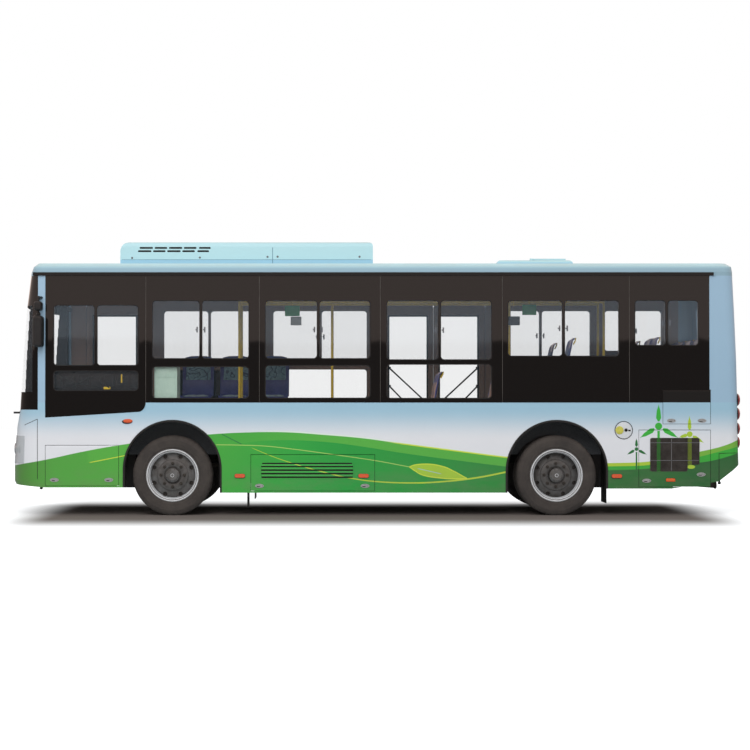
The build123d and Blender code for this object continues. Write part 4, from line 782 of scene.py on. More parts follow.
class Shape:
    """Collects boxes, rods, plates and turned forms into one mesh."""

    def __init__(self):
        self.bm = bmesh.new()

    def take(self, verts, faces):
        made = [self.bm.verts.new(v) for v in verts]
        for face in faces:
            self.bm.faces.new([made[i] for i in face])

    def box(self, one, two, bevel=0.0):
        """A block between two opposite corners, given in any order, with its edges rounded."""
        low, high = (Vector([pick(a, b) for a, b in zip(one, two)]) for pick in (min, max))
        place = Matrix.Translation((low + high) / 2) @ Matrix.Diagonal((*(high - low), 1))
        made = bmesh.ops.create_cube(self.bm, size=1.0, matrix=place)
        if bevel:
            edges = {edge for vert in made["verts"] for edge in vert.link_edges}
            bmesh.ops.bevel(self.bm, geom=list(edges), offset=bevel, segments=2, affect="EDGES", profile=.6)

    def rod(self, start, end, radius, sides, end_radius=None):
        start, end = Vector(start), Vector(end)
        aim = (end - start).to_track_quat("Z", "Y").to_matrix().to_4x4()
        place = Matrix.Translation((start + end) / 2) @ aim
        bmesh.ops.create_cone(self.bm, cap_ends=True, segments=sides, radius1=radius,
                              radius2=radius if end_radius is None else end_radius,
                              depth=(end - start).length, matrix=place)

    def ball(self, centre, radii, rings, sides):
        place = Matrix.Translation(Vector(centre)) @ Matrix.Diagonal((*radii, 1))
        bmesh.ops.create_uvsphere(self.bm, u_segments=sides, v_segments=rings, radius=1.0, matrix=place)

    def bridge(self, rings, closed):
        """Walls from each ring of points to the next."""
        for one, two in list(zip(rings, rings[1:])) + ([(rings[-1], rings[0])] if closed else []):
            for k, corner in enumerate(one):
                after = (k + 1) % len(one)
                self.bm.faces.new((corner, one[after], two[after], two[k]))

    def prism(self, one, two):
        """A solid between two outlines with the same number of points."""
        count = len(one)
        walls = [(i, (i + 1) % count, count + (i + 1) % count, count + i) for i in range(count)]
        self.take(one + two, walls + [tuple(range(count))[::-1], tuple(range(count, 2 * count))])

    def tube(self, points, radius, sides, closed=False):
        """A bent tube through points, with mitred corners."""
        points = [Vector(p) for p in points]
        rings, count = [], len(points)
        up = Vector((0, 0, 1))
        for i, point in enumerate(points):
            ahead = points[(i + 1) % count] - point if closed or i + 1 < count else Vector()
            behind = point - points[i - 1] if closed or i else Vector()
            run = (ahead.normalized() + behind.normalized()).normalized()
            side = run.cross(up if abs(run.z) < .95 else Vector((0, 1, 0))).normalized()
            rise = side.cross(run).normalized()
            rings.append([self.bm.verts.new(point + radius * (math.cos(a) * side + math.sin(a) * rise))
                          for a in turns(sides)])
        self.bridge(rings, closed)
        if not closed:
            self.bm.faces.new(rings[0][::-1])
            self.bm.faces.new(rings[-1])

    def turned(self, profile, centre, axis, sides):
        """A closed profile of (radius, along) points spun round an axis through a centre."""
        aim = Vector(axis).to_track_quat("Z", "X").to_matrix()
        rings = []
        for radius, out in profile:
            ring = [Vector((radius * math.cos(a), radius * math.sin(a), out)) for a in turns(sides)]
            rings.append([self.bm.verts.new(Vector(centre) + aim @ point) for point in ring])
        self.bridge(rings, True)

    def plate(self, outline, holes, lift, thick):
        """A flat outline in (x, z) with holes, laid on a side by lift(x, z) -> y, given thickness."""
        flat = bmesh.new()
        edges = []
        for loop in [outline, *holes]:
            made = [flat.verts.new((x, 0, z)) for x, z in loop]
            edges += [flat.edges.new((made[i], made[(i + 1) % len(made)])) for i in range(len(made))]
        bmesh.ops.triangle_fill(flat, edges=edges, use_beauty=True, normal=(0, -1, 0))
        flat.verts.index_update()
        places = [vert.co.copy() for vert in flat.verts]
        faces = [[vert.index for vert in face.verts] for face in flat.faces]
        rims = [[vert.index for vert in edge.verts] for edge in flat.edges if len(edge.link_faces) == 1]
        flat.free()
        outer = [(p.x, lift(p.x, p.z), p.z) for p in places]
        inner = [(x, y - math.copysign(thick, y), z) for x, y, z in outer]
        count = len(outer)
        walls = [(a, b, b + count, a + count) for a, b in rims]
        self.take(outer + inner, faces + [[i + count for i in face] for face in faces] + walls)

    def done(self, name, material, body="body", slot="body_paint", smooth=True, angle=35):
        bmesh.ops.recalc_face_normals(self.bm, faces=self.bm.faces)
        mesh = bpy.data.meshes.new(name)
        self.bm.to_mesh(mesh)
        self.bm.free()
        mesh.materials.append(material)
        if smooth:
            mesh.shade_smooth()
            mesh.set_sharp_from_angle(angle=math.radians(angle))
        return show(name, mesh, body)


def arc(cx, cz, radius, start, steps):
    """A quarter turn from a start angle in degrees, as (x, z) points."""
    angles = [math.radians(start + 90 * k / steps) for k in range(steps + 1)]
    return [(cx + radius * math.cos(angle), cz + radius * math.sin(angle)) for angle in angles]


def rounded(x0, x1, z0, z1, radius):
    """A rectangle with round corners, as (x, z) points."""
    radius = min(radius, (x1 - x0) / 2, (z1 - z0) / 2)
    corners = ((x1 - radius, z1 - radius, 0), (x0 + radius, z1 - radius, 90),
               (x0 + radius, z0 + radius, 180), (x1 - radius, z0 + radius, 270))
    return [point for cx, cz, start in corners for point in arc(cx, cz, radius, start, 6)]


def oval(cx, cz, half_x, half_z):
    return [(cx + half_x * math.cos(a), cz + half_z * math.sin(a)) for a in turns(24)]


# Bays of the side glass: bay start and end, clear pane start, divider and end, as shares of the
# length; then pane top and bottom, lower pane top and bottom, as shares from belt to gutter
LEFT_BAY_SHARES = (
    (.0570, .1931, .0686, .1256, .1827, .7656, .2941, .2489, .0964),
    (.1931, .3467, .2024, .2676, .3323, .8014, .3478, .2822, .0361),
    (.3467, .5104, .3551, .4264, .4964, .8033, .3478, .2911, .0375),
    (.5104, .6756, .5193, .5905, .6606, .8033, .3386, .3001, .0361),
    (.6756, .8473, .6833, .7582, .8329, .8033, .3669, 0, 0),
    (.8473, .9557, .8550, .8977, .9403, .8033, .4518, 0, 0),
)
RIGHT_BAY_SHARES = (
    (.1620, .3467, .1903, .2591, .3323, .8014, .3478, 0, 0),
    (.3467, .5125, .3551, .4264, .4964, .8033, .3478, .2911, .0375),
    (.6810, .8473, .6870, .7582, .8329, .8033, .3669, 0, 0),
    (.8473, .9557, .8550, .8977, .9403, .8033, .4518, 0, 0),
)
DRIVER_SILL = (1.149, 1.219, 1.321)     # height at its front, before and after its rear curve
DRIVER_CURVE = .085                     # length of that curve
JOINT = .0022                           # half of the gap between two bays
DIVIDER = .015                          # half of the bar between sliding panes
GLASS_T = .006
CORNER = .042

FRIT = black_gloss()
SKY_PANE = clear_glass("sky_pane", .10, (150, 176, 196), .7)
PANE = clear_glass("pane", .045, (150, 170, 184), .6)
SEAL = plain("seal", (16, 16, 17), (26, 26, 26), .5, 40.0, .2)
JOINT_GREY = plain("joint_grey", (92, 88, 84), (78, 74, 70), .6, 20.0, .1)
CHROME = plain("chrome", (196, 197, 200), (172, 174, 178), .30, 30.0, .08, metallic=.75)
SATIN = plain("satin_grey", (128, 130, 134), (108, 110, 114), .4, 30.0, .1, metallic=.5)


def bay_outline(bay, driver):
    x0, x1 = along(bay[0]) + JOINT, along(bay[1]) - JOINT
    top = GUTTER - .001
    if not driver:
        return [(x0, BELT + .001), (x1, BELT + .001), (x1, top), (x0, top)]
    front, rear, high = DRIVER_SILL
    bend = [(x1 - DRIVER_CURVE * (1 - t / 8) ** 1.6,
             rear + (high - rear) * (t / 8) ** 1.8) for t in range(9)]
    return [(x0, front), *bend, (x1, top), (x0, top)]


def bay_openings(bay):
    """The two sliding panes and, where there is one, the fixed pane below them."""
    x0, middle, x1 = (along(share) for share in bay[2:5])
    top, low, below_top, below_low = (band_height(share) for share in bay[5:9])
    openings = [(x0, middle - DIVIDER, low, top), (middle + DIVIDER, x1, low, top)]
    if bay[7]:
        openings.append((x0, x1, below_low, below_top))
    return openings


def glaze_side(side, rows, node):
    """Frit sheets with rounded holes, fixed and sliding panes behind them, seals, sills and catches."""
    sheets, panes, sliders, seals, catches, joints = (Shape() for _ in range(6))
    for number, bay in enumerate(rows):
        lift = lambda x, z: side * (side_plane(z) - .0006)
        openings = bay_openings(bay)
        if number:
            x = along(bay[0])
            steps = [BELT + (GUTTER - BELT) * k / 6 for k in range(7)]
            for low, high in zip(steps, steps[1:]):
                y = side * (side_plane((low + high) / 2) - .0025)
                joints.box((x - JOINT, y, low),
                           (x + JOINT, y - side * .003, high))
        holes = [rounded(*opening, CORNER) for opening in openings]
        sheets.plate(bay_outline(bay, side < 0 and number == 0), holes, lift, GLASS_T)
        for place, (x0, x1, z0, z1) in enumerate(openings):
            deep = lambda x, z: side * (side_plane(z) - .0030)
            sheet = rounded(x0 - .004, x1 + .004, z0 - .004, z1 + .004, CORNER)
            (sliders if place < 2 else panes).plate(sheet, [], deep, .0035)
            proud = lambda x, z: side * (side_plane(z) + .0012)
            seals.plate(rounded(x0 - .007, x1 + .007, z0 - .007, z1 + .007, CORNER + .007),
                        [rounded(x0 + .003, x1 - .003, z0 + .003, z1 - .003, CORNER - .003)], proud, .008)
        x0, x1, z0, z1 = openings[0]
        y = side * (side_plane((z0 + z1) / 2) - .003)
        sill = side * (side_plane(z0) - .004)
        seals.box((x0 + .02, sill, z0 - .010),
                  (openings[1][1] - .02, sill - side * .022, z0 + .004), .002)
        if number:
            for x in (x1 - .030, openings[1][0] + .030):
                catches.box((x - .009, y, (z0 + z1) / 2 - .033),
                            (x + .009, y - side * .016, (z0 + z1) / 2 + .033), .004)
                catches.box((x - .020, y - side * .014, (z0 + z1) / 2 - .008),
                            (x + .006, y - side * .026, (z0 + z1) / 2 + .008), .004)
    name = "left" if side < 0 else "right"
    frit = sheets.done("frit_" + name, FRIT, slot="black_plastic", angle=20)
    pane = panes.done("panes_" + name, PANE, slot="glazing", angle=20)
    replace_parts(frit, node)
    slider = sliders.done("sliders_" + name, SKY_PANE, slot="glazing", angle=20)
    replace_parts(pane, node)
    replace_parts(slider, node)
    seals.done("seals_" + name, SEAL, slot="rubber")
    joints.done("joints_" + name, JOINT_GREY, slot="rubber", smooth=False)
    catches.done("catches_" + name, SATIN, slot="black_plastic")


def split_glass(node, cuts, is_frit, body, name):
    """The node's own sheet, cut by planes (axis, place), with its black edge and clear field apart."""
    for part, wanted, material, slot in (("frit", True, FRIT, "black_plastic"),
                                         ("pane", False, PANE, "glazing")):
        bm = bmesh.new()
        bm.from_mesh(nodes[node].data)
        for axis, place in cuts:
            normal = Vector((axis == 0, axis == 1, axis == 2))
            geometry = bm.verts[:] + bm.edges[:] + bm.faces[:]
            bmesh.ops.bisect_plane(bm, geom=geometry, plane_co=normal * place, plane_no=normal, dist=1e-6)
        gone = [face for face in bm.faces if is_frit(face.calc_center_median()) != wanted]
        bmesh.ops.delete(bm, geom=gone, context="FACES")
        mesh = bpy.data.meshes.new(f"{part}_{name}")
        bm.to_mesh(mesh)
        bm.free()
        mesh.materials.append(material)
        mesh.shade_smooth()
        mesh.set_sharp_from_angle(angle=math.radians(25))
        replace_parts(show(f"{part}_{name}", mesh, body), node)


def split_rim(node, axis, rim, body, name):
    """Splits a flat pane from its black edge of even width; the pane runs along the axis and up."""
    low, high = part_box(node)
    x0, x1, z0, z1 = low[axis] + rim, high[axis] - rim, low.z + rim, high.z - rim
    split_glass(node, ((axis, x0), (axis, x1), (2, z0), (2, z1)),
                lambda c: not (x0 < c[axis] < x1 and z0 < c.z < z1), body, name)


def glaze_ends():
    low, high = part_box("windshield")
    top_cut, low_cut, back_cut = high.z - .352, low.z + .208, high.x - .067
    split_glass("windshield", ((2, top_cut), (2, low_cut), (0, back_cut)),
                lambda c: c.z > top_cut or c.z < low_cut or c.x > back_cut, "body", "windshield")
    split_rim("rear_window", 1, .055, "body", "rear_window")
    for door in ("door_front", "door_mid_front", "door_mid_rear"):
        split_rim(door + "_glass", 0, .022, door, door)


glaze_side(-1, LEFT_BAY_SHARES, "glass_left")
glaze_side(1, RIGHT_BAY_SHARES, "glass_right")
glaze_ends()


# Tyre half-section, bead to crown, as (radius, half-width) shares of the tyre's radius and width
SIDEWALL_SHARES = ((.640, .76), (.652, .86), (.668, .885), (.700, .905), (.712, .955), (.726, .965),
                   (.740, .955), (.775, .985), (.820, 1.0), (.868, .990), (.880, .998), (.892, .975),
                   (.925, .935), (.957, .880))
CROWN_SHARES = ((.972, .835), (.986, .80), (.992, .74))
GROOVE_SHARES = (.62, .30, 0.0)     # grooves across half the tread, outer first
GROOVE_HALF = .0055
GROOVE_DEEP = .012
TREAD_STEPS = 168
LUG_EVERY = 4           # one tread step in so many dips between two lugs
LUG_DIP = .007
TREAD_IN = .0001        # keeps the crown just inside the tyre's own radius
STUD_RING = .1375       # radius of the wheel nuts' circle
HOLE_RING = .238        # radius of the hand holes' circle
RIM_R = .300
TYRE_HALF = .1275       # half of one tyre's width


def tyre_section(radius, half):
    """One closed section as (radius, offset, lug) points; lug points dip between the shoulder blocks."""
    side = [(radius * r, half * w, 0) for r, w in SIDEWALL_SHARES]
    side += [(radius * r, half * w, 1) for r, w in CROWN_SHARES]
    for share in GROOVE_SHARES[:-1]:
        w = half * share
        side += [(radius * .997, w + GROOVE_HALF, 0), (radius - GROOVE_DEEP, w + GROOVE_HALF * .6, 0),
                 (radius - GROOVE_DEEP, w - GROOVE_HALF * .6, 0), (radius * .9995, w - GROOVE_HALF, 0)]
    side += [(radius, GROOVE_HALF, 0), (radius - GROOVE_DEEP, GROOVE_HALF * .6, 0)]
    mirrored = [(r, -w, lug) for r, w, lug in side]
    return side + mirrored[::-1]


def dress_tyre(name, centre, half, body, material):
    points = tyre_section(TYRE_R - TREAD_IN, half)
    verts, faces, count = [], [], len(points)
    for step in range(TREAD_STEPS):
        angle = math.tau * step / TREAD_STEPS
        dip = LUG_DIP if step % LUG_EVERY == 0 else 0.0
        for r, w, lug in points:
            reach = r - dip * lug
            verts.append((centre.x + reach * math.sin(angle), centre.y + w,
                          centre.z + reach * math.cos(angle)))
    for step in range(TREAD_STEPS):
        here, there = step * count, (step + 1) % TREAD_STEPS * count
        faces += [(here + i, here + (i + 1) % count, there + (i + 1) % count,
                   there + i) for i in range(count)]
    made = add(name, verts, faces, material, body)
    made.data.set_sharp_from_angle(angle=math.radians(38))
    return made


def dress_wheel(corner, centre, side, disc_out, hub_out):
    """Bright flange, disc ring, nuts, hand-hole lips, hub cap and valve on one wheel."""
    body = "wheel_" + corner
    out = Vector((0, side, 0))
    centre = Vector((centre.x, side * abs(centre.y), centre.z))

    def at(radius, angle, reach):
        return centre + Vector((radius * math.sin(angle), side * reach, radius * math.cos(angle)))

    ring = Shape()
    edge = TYRE_HALF * .90
    ring.turned([(RIM_R + .004, edge - .030), (RIM_R + .009, edge - .004), (RIM_R + .006, edge + .002),
                 (RIM_R - .002, edge + .003), (RIM_R - .010, edge - .003), (RIM_R - .022, edge - .007),
                 (RIM_R - .026, edge - .012), (RIM_R - .029, edge - .040), (RIM_R - .036, edge - .052),
                 (RIM_R - .038, edge - .075), (RIM_R - .028, edge - .080)], centre, out, 96)
    back = Shape()
    back.turned([(.262, disc_out - .060), (.262, disc_out - .052), (.060, disc_out - .045),
                 (.060, disc_out - .060)], centre, out, 48)
    back.done("drum_" + corner, HUB_GREY, body, "wheel_steel")
    ring.done("flange_" + corner, BRIGHT_RING, body, "wheel_steel", angle=30)
    face = disc_out
    plate = Shape()
    plate.turned([(.186, face + .001), (.180, face + .009), (.172, face + .012), (.112, face + .014),
                  (.104, face + .012), (.104, face - .002), (.186, face - .004)], centre, out, 64)
    for k in range(8):
        angle = math.radians(22.5 + 45 * k)
        spot = at(HOLE_RING, angle, face + .001)
        loop = [spot + .028 * Vector((math.cos(t - angle), 0, math.sin(t - angle))) for t in turns(16)]
        plate.tube(loop, .0028, 6, closed=True)
    plate.done("disc_" + corner, DISC_GREY, body, "wheel_steel")
    nuts = Shape()
    for k in range(8):
        angle = math.radians(45 * k)
        foot = at(STUD_RING, angle, face + .010)
        nuts.rod(foot, foot + out * .004, .0195, 20)
        nuts.rod(foot + out * .004, foot + out * .020, .0160, 6)
        nuts.rod(foot + out * .020, foot + out * .030, .0095, 12)
        nuts.ball(foot + out * .030, (.0095, .004, .0095), rings=5, sides=12)
    nuts.done("nuts_" + corner, NUT_METAL, body, "wheel_steel")
    cap = Shape()
    end = hub_out
    cap.turned([(.0905, face + .004), (.0900, face + .030), (.0840, end - .034), (.0800, end - .022),
                (.0600, end - .014), (.0520, end - .012), (.0500, end - .004), (.0460, end - .001),
                (.0240, end - .001), (.0200, end - .004), (.0005, end - .004), (.0005, end - .030),
                (.070, face + .002)], centre, out, 48)
    for k in range(8):
        angle = math.radians(22.5 + 45 * k)
        foot = at(.0690, angle, end - .018)
        cap.rod(foot, foot + out * .008, .0062, 6)
    cap.done("hub_cap_" + corner, HUB_GREY, body, "wheel_steel", angle=30)
    boss = Shape()
    boss.turned([(.0225, end - .005), (.0215, end), (.0180, end + .0005), (.0120, end - .001),
                 (.0005, end - .001), (.0005, end - .008), (.0225, end - .008)], centre, out, 32)
    boss.done("hub_boss_" + corner, BRIGHT_RING, body, "wheel_steel")
    valve = Shape()
    angle = math.radians(202)
    foot = at(.255, angle, face - .02)
    valve.rod(foot, foot + out * .045 + Vector((0, 0, .004)), .0042, 10)
    valve.rod(foot + out * .045, foot + out * .058 + Vector((0, 0, .001)), .0055, 10)
    valve.done("valve_" + corner, NUT_METAL, body, "wheel_steel")


BRIGHT_RING = plain("wheel_bright", (222, 223, 225), (200, 201, 204), .34, 30.0, .08, metallic=.15)
DISC_GREY = plain("disc_grey", (98, 97, 96), (80, 78, 76), .42, 24.0, .15, metallic=.4)
HUB_GREY = plain("hub_grey", (50, 49, 49), (66, 62, 58), .45, 30.0, .3, metallic=.4)
NUT_METAL = plain("nut_metal", (58, 57, 56), (84, 80, 74), .38, 60.0, .2, metallic=.7)
for corner, side in (("front_left", -1), ("front_right", 1), ("rear_left", -1), ("rear_right", 1)):
    low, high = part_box("tyre_" + corner)
    front = corner.startswith("front")
    outer = max(abs(low.y), abs(high.y)) - TYRE_HALF
    inner = min(abs(low.y), abs(high.y)) + TYRE_HALF
    centre = Vector(((low.x + high.x) / 2, side * outer, (low.z + high.z) / 2))
    hub_low, hub_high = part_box("rim_" + corner)
    reach = max(abs(hub_low.y), abs(hub_high.y)) - outer
    dress_wheel(corner, centre, side, (.0574 if front else .01275) + .007, reach)
    places = [outer] if front else [outer, inner]
    for number, y in enumerate(places):
        spot = Vector((centre.x, side * y, centre.z))
        made = dress_tyre(f"tread_{corner}_{number}", spot, TYRE_HALF, "wheel_" + corner,
                          MATERIALS["tyre_" + corner])
        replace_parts(made, "tyre_" + corner)


# Details on the skin, as (x, z) places in metres read off the picture
LATCHES = ((3.51, 1.114, "flap_left_rear_high"), (3.87, 1.114, "flap_left_rear_high"),
           (3.22, .409, "flap_left_rear_low"), (3.86, .482, "flap_left_rear_low"),
           (-1.33, .348, "flap_left_mid"), (-.09, .348, "flap_left_mid"),
           (-3.74, .418, "flap_left_front"), (-3.10, .418, "flap_left_front"),
           (3.22, .409, "flap_right_rear_low"), (3.86, .482, "flap_right_rear_low"),
           (-1.33, .348, "flap_right_mid"), (-.19, .348, "flap_right_mid"))
SLATS_Z = (.610, .575, .532, .491, .449)          # centres of the five slots of the middle flap
SLAT_X = (-1.31, -.23)
GRILLE = (3.26, 3.84, .518, .912)                 # x0, x1, z0, z1
GRILLE_NOTCH = (3.70, .597)                       # from this x on, its foot is higher
FILLER = (2.95, 1.002, .103)

SLOT_BLACK = plain("slot_black", (7, 7, 7), (12, 12, 12), .7, 30.0, .2)
AMBER = lamp_glass("reflector_amber", (222, 84, 30))
SEAM = plain("seam", (12, 12, 12), (22, 22, 22), .7, 40.0, .2)
SILVER = plain("latch_silver", (188, 190, 190), (162, 164, 166), .32, 50.0, .1, metallic=.6)
YELLOW_CAP = plain("filler_cap", (212, 206, 92), (196, 190, 80), .5, 40.0, .2)
PAINT = MATERIALS["skirt_left"]


def dress_latch(number, x, z, body, side):
    """An oval silver plate with its paddle and key spot."""
    y = side * SIDE
    place = lambda grow: (lambda px, pz: side * (SIDE + grow))
    plate = Shape()
    plate.plate(oval(x, z, .052, .0235), [oval(x - .012, z, .030, .0155)], place(.0035), .006)
    plate.plate(oval(x - .012, z, .031, .0165), [], place(.0006), .003)
    plate.box((x - .034, y, z - .004),
              (x + .010, y + side * .0045, z + .009), .002)
    plate.rod((x + .034, y, z), (x + .034, y + side * .0048, z), .0080, 16)
    plate.done(f"latch_{number}", SILVER, body)
    hole = Shape()
    hole.rod((x + .034, y + side * .0040, z), (x + .034, y + side * .0052, z), .0034, 12)
    hole.box((x - .030, y, z - .013), (x + .006, y + side * .0012, z - .005),
             .001)
    hole.done(f"latch_hole_{number}", SLOT_BLACK, body, "black_plastic")


def dress_louvres(node, side, x0, x1):
    """Five slots with sloping blades between them; the paint runs over the blades."""
    slots, blades = Shape(), Shape()
    top, low = SLATS_Z[0] + .010, SLATS_Z[-1] - .010
    wall = lambda x, z: side * (SIDE + .0006)
    for z in SLATS_Z:
        inset = .012 if z == SLATS_Z[0] else 0.0
        slots.plate(rounded(x0 + inset, x1 - inset, z - .0085, z + .0085, .004), [], wall, .0035)
    gaps = [(a + b) / 2 for a, b in zip(SLATS_Z, SLATS_Z[1:])]
    for z in gaps:
        y_in, y_out = side * (SIDE - .001), side * (SIDE + .0055)
        section = [(y_in, z + .0105), (side * (SIDE + .0015), z + .0105), (y_out, z - .0080),
                   (side * (SIDE + .0040), z - .0100), (y_in, z - .0100)]
        blades.prism(*([(x, *point) for point in section] for x in (x0 + .006, x1 - .006)))
    frame_out = rounded(x0 - .010, x1 + .010, low - .010, top + .010, .030)
    frame_in = rounded(x0 - .002, x1 + .002, low - .002, top + .002, .026)
    blades.plate(frame_out, [frame_in], lambda x, z: side * (SIDE + .0022), .003)
    slots.done("louvre_slots_" + node, SLOT_BLACK, node, "black_plastic")
    blades.done("louvre_blades_" + node, PAINT, node)


def dress_grille(node, side):
    """The rear flap's mesh: a fine upright grating in a rounded opening, notched at its rear foot."""
    x0, x1, z0, z1 = GRILLE
    notch_x, notch_z = GRILLE_NOTCH
    r = .022
    outline = (arc(x1 - r, z1 - r, r, 0, 6) + arc(x0 + r, z1 - r, r, 90, 6) + arc(x0 + r, z0 + r, r, 180, 6)
               + arc(notch_x - r, z0 + r, r, 270, 6) + [(notch_x, notch_z)]
               + arc(x1 - r, notch_z + r, r, 270, 6))
    back, bars, lines = Shape(), Shape(), Shape()
    back.plate(outline, [], lambda x, z: side * (SIDE + .0006), .003)
    count = 58
    for k in range(count):
        x = x0 + .006 + (x1 - x0 - .012) * k / (count - 1)
        foot = z0 + .006 if x < notch_x else notch_z + .006
        bars.box((x - .0022, side * SIDE, foot),
                 (x + .0022, side * (SIDE + .004), z1 - .006))
    for z in (.855, .647):
        lines.box((x0 + .006, side * SIDE, z - .003),
                  (x1 - .006, side * (SIDE + .0052), z + .003))
    middle = (x0 + x1) / 2 - .04
    lines.box((middle - .003, side * SIDE, z0 + .01),
              (middle + .003, side * (SIDE + .0052), z1 - .01))
    shrunk = [(x0 + (x1 - x0) / 2 + (x - (x0 + x1) / 2) * .985,
               (z0 + z1) / 2 + (z - (z0 + z1) / 2) * .978) for x, z in outline]
    bars.plate(outline, [shrunk], lambda x, z: side * (SIDE + .0048), .005)
    back.done("grille_back_" + node, SLOT_BLACK, node, "black_plastic")
    bars.done("grille_bars_" + node, grille_paint(), node, "black_plastic")
    lines.done("grille_lines_" + node, SATIN, node, "black_plastic")


def grille_paint():
    """Dark grating on which the turbine masts show through as a green tint."""
    graph = Graph("grille_bars")
    cloud = graph.noise(9.0, 4.0)
    colour = graph.mix(graph.rise(cloud, .5, .2), linear(62, 56, 52), linear(86, 80, 76))
    for row in TURBINES[::2]:
        mast = graph.fall(graph.size(graph.less(graph.x, row["hub"][0])), .022, .004)
        colour = graph.mix(graph.both(mast, .55), colour, TURBINE_TINTS[row["key"]])
    return graph.finish(Base_Color=colour, Roughness=.5, Metallic=.2,
                        Normal=graph.bump(graph.noise(200.0), .2))


def dress_filler():
    """Round charging and fuel cover: a thin ring, a yellow cap and a lock."""
    x, z, r = FILLER
    y = -SIDE
    ring, cover, cap, lock = Shape(), Shape(), Shape(), Shape()
    ring.turned([(r + .004, -.001), (r + .004, .0025), (r, .0035), (r - .004, .0025), (r - .004, -.001)],
                (x, y, z), (0, -1, 0), 64)
    cover.turned([(r - .006, -.001), (r - .008, .002), (.002, .0035), (.002, -.001)], (x, y, z), (0, -1, 0),
                 64)
    cap.turned([(.047, .003), (.047, .0075), (.043, .0095), (.020, .0100), (.018, .0085), (.0005, .0085),
                (.0005, .003)], (x - .05, y, z), (0, -1, 0), 40)
    for angle in turns(12):
        spot = Vector((x - .05 + .044 * math.cos(angle), y - .0055, z + .044 * math.sin(angle)))
        cap.ball(spot, (.0045, .004, .0045), rings=5, sides=8)
    lock.rod((x + .026, y, z + .002), (x + .026, y - .009, z + .002), .019, 24)
    lock.rod((x + .066, y, z - .004), (x + .066, y - .006, z - .004), .008, 16)
    lock.box((x + .052, y - .006, z - .012), (x + .082, y, z + .006), .003)
    ring.done("filler_ring", SEAM, slot="black_plastic")
    cover.done("filler_cover", OFFWHITE_PAINT, slot="body_paint")
    cap.done("filler_cap", YELLOW_CAP, slot="black_plastic")
    lock.done("filler_lock", SLOT_BLACK, slot="black_plastic")


def dress_side_lamps():
    """Each side lamp gets an oval lens over a dark base, in place of its plain block."""
    bases, lenses = Shape(), Shape()
    for x, z, both_sides in SIDE_LAMPS:
        for side in ((-1, 1) if both_sides else (-1,)):
            y = side * SIDE
            if both_sides:
                bases.plate(rounded(x - .064, x + .064, z - .027, z + .027, .024), [],
                            lambda px, pz: side * (SIDE + .0045), .0045)
                lenses.plate(rounded(x - .060, x + .060, z - .019, z + .025, .019), [],
                             lambda px, pz: side * (SIDE + .0150), .0105)
                lenses.ball((x, y + side * .0095, z + .003), (.054, .0062, .018), rings=8, sides=24)
            else:
                bases.plate(oval(x - .004, z - .004, .062, .028), [],
                            lambda px, pz: side * (SIDE + .0050), .005)
                lenses.ball((x + .004, y + side * .0035, z + .004), (.056, .0120, .0240), rings=10,
                            sides=28)
    base = bases.done("lamp_bases", LAMP_BASE, slot="black_plastic")
    lens = lenses.done("lamp_lenses", AMBER, slot="lamp_red", angle=50)
    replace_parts(base, "side_lamps")
    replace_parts(lens, "side_lamps")


def dress_seams():
    """Dark joints of the flaps, as thin rubber strips let into the gaps."""
    strips = Shape()
    for node, side in (("flap_left_front", -1), ("flap_left_mid", -1), ("flap_left_rear_low", -1),
                       ("flap_left_rear_high", -1), ("flap_right_mid", 1), ("flap_right_rear_low", 1)):
        low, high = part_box(node)
        y = side * (SIDE - .002)
        deep = side * (SIDE - .030)
        for x in (low.x - .0035, high.x + .0035):
            strips.box((x - .0028, y, low.z), (x + .0028, y - side * .006, high.z))
        strips.box((low.x - .006, deep, high.z + .001), (high.x + .006, deep - side * .006, high.z + .0075))
    strips.done("flap_joints", SEAM, slot="rubber", smooth=False)


def dress_gutter():
    """Black rail along the top of the side glass, with its drip lip."""
    rail = Shape()
    for side in (-1, 1):
        steps = [(GUTTER + .001, .0005), (GUTTER + .004, .0060), (GUTTER + .030, .0075),
                 (GUTTER + .040, .0060), (GUTTER + .0405, .0005)]
        section = [(side * (side_plane(z) + grow), z) for z, grow in steps]
        inner = [(side * (side_plane(z) - .002), z) for z, grow in (steps[-1], steps[0])]
        rail.prism(*([(x, *point) for point in section + inner] for x in (along(.0402), along(.9613))))
    rail.done("gutter_rail", GUTTER_BLACK, slot="black_plastic", angle=30)


OFFWHITE_PAINT = plain("offwhite_paint", (226, 227, 230), (214, 216, 220), .3, 8.0, .05, coat=.3)
LAMP_BASE = plain("lamp_base", (52, 56, 62), (40, 42, 46), .45, 30.0, .2)
GUTTER_BLACK = plain("gutter_black", (13, 12, 12), (20, 19, 18), .34, 12.0, .1)
SIDE_LAMPS = ((-2.88, 1.107, False), (-1.56, .464, True), (-.107, .464, True), (2.868, .461, True))
AC_SPLIT_X = -1.19
AC_BAND_Z = 3.036
AC_LOUVRES = ((3.136, ((-2.80, -2.64), (-2.62, -2.47), (-2.45, -2.29), (-2.27, -2.12), (-2.09, -1.95))),
              (3.175, ((-2.78, -2.62), (-2.60, -2.45), (-2.43, -2.27), (-2.25, -2.10), (-2.07, -1.93))))
AC_BOLTS = ((-2.87, 3.056), (-2.06, 3.061), (-1.25, 3.069), (-1.13, 3.071), (-.15, 3.071))
UNIT_DROP = .0070                       # the unit's lid lies this far below its fans' rims
UNIT_EDGE = .030                        # height over which the drop fades in


def lower_unit_top(high):
    """The unit's own shell with its lid let down a little, so that the fans stay inside its height."""
    shell = nodes["ac_unit"].data.copy()
    shell.name = "unit_shell"
    for vertex in shell.vertices:
        reach = min(1.0, max(0.0, (vertex.co.z - high.z + UNIT_EDGE) / UNIT_EDGE))
        vertex.co.z -= UNIT_DROP * reach
    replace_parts(show("unit_shell", shell, "body"), "ac_unit")


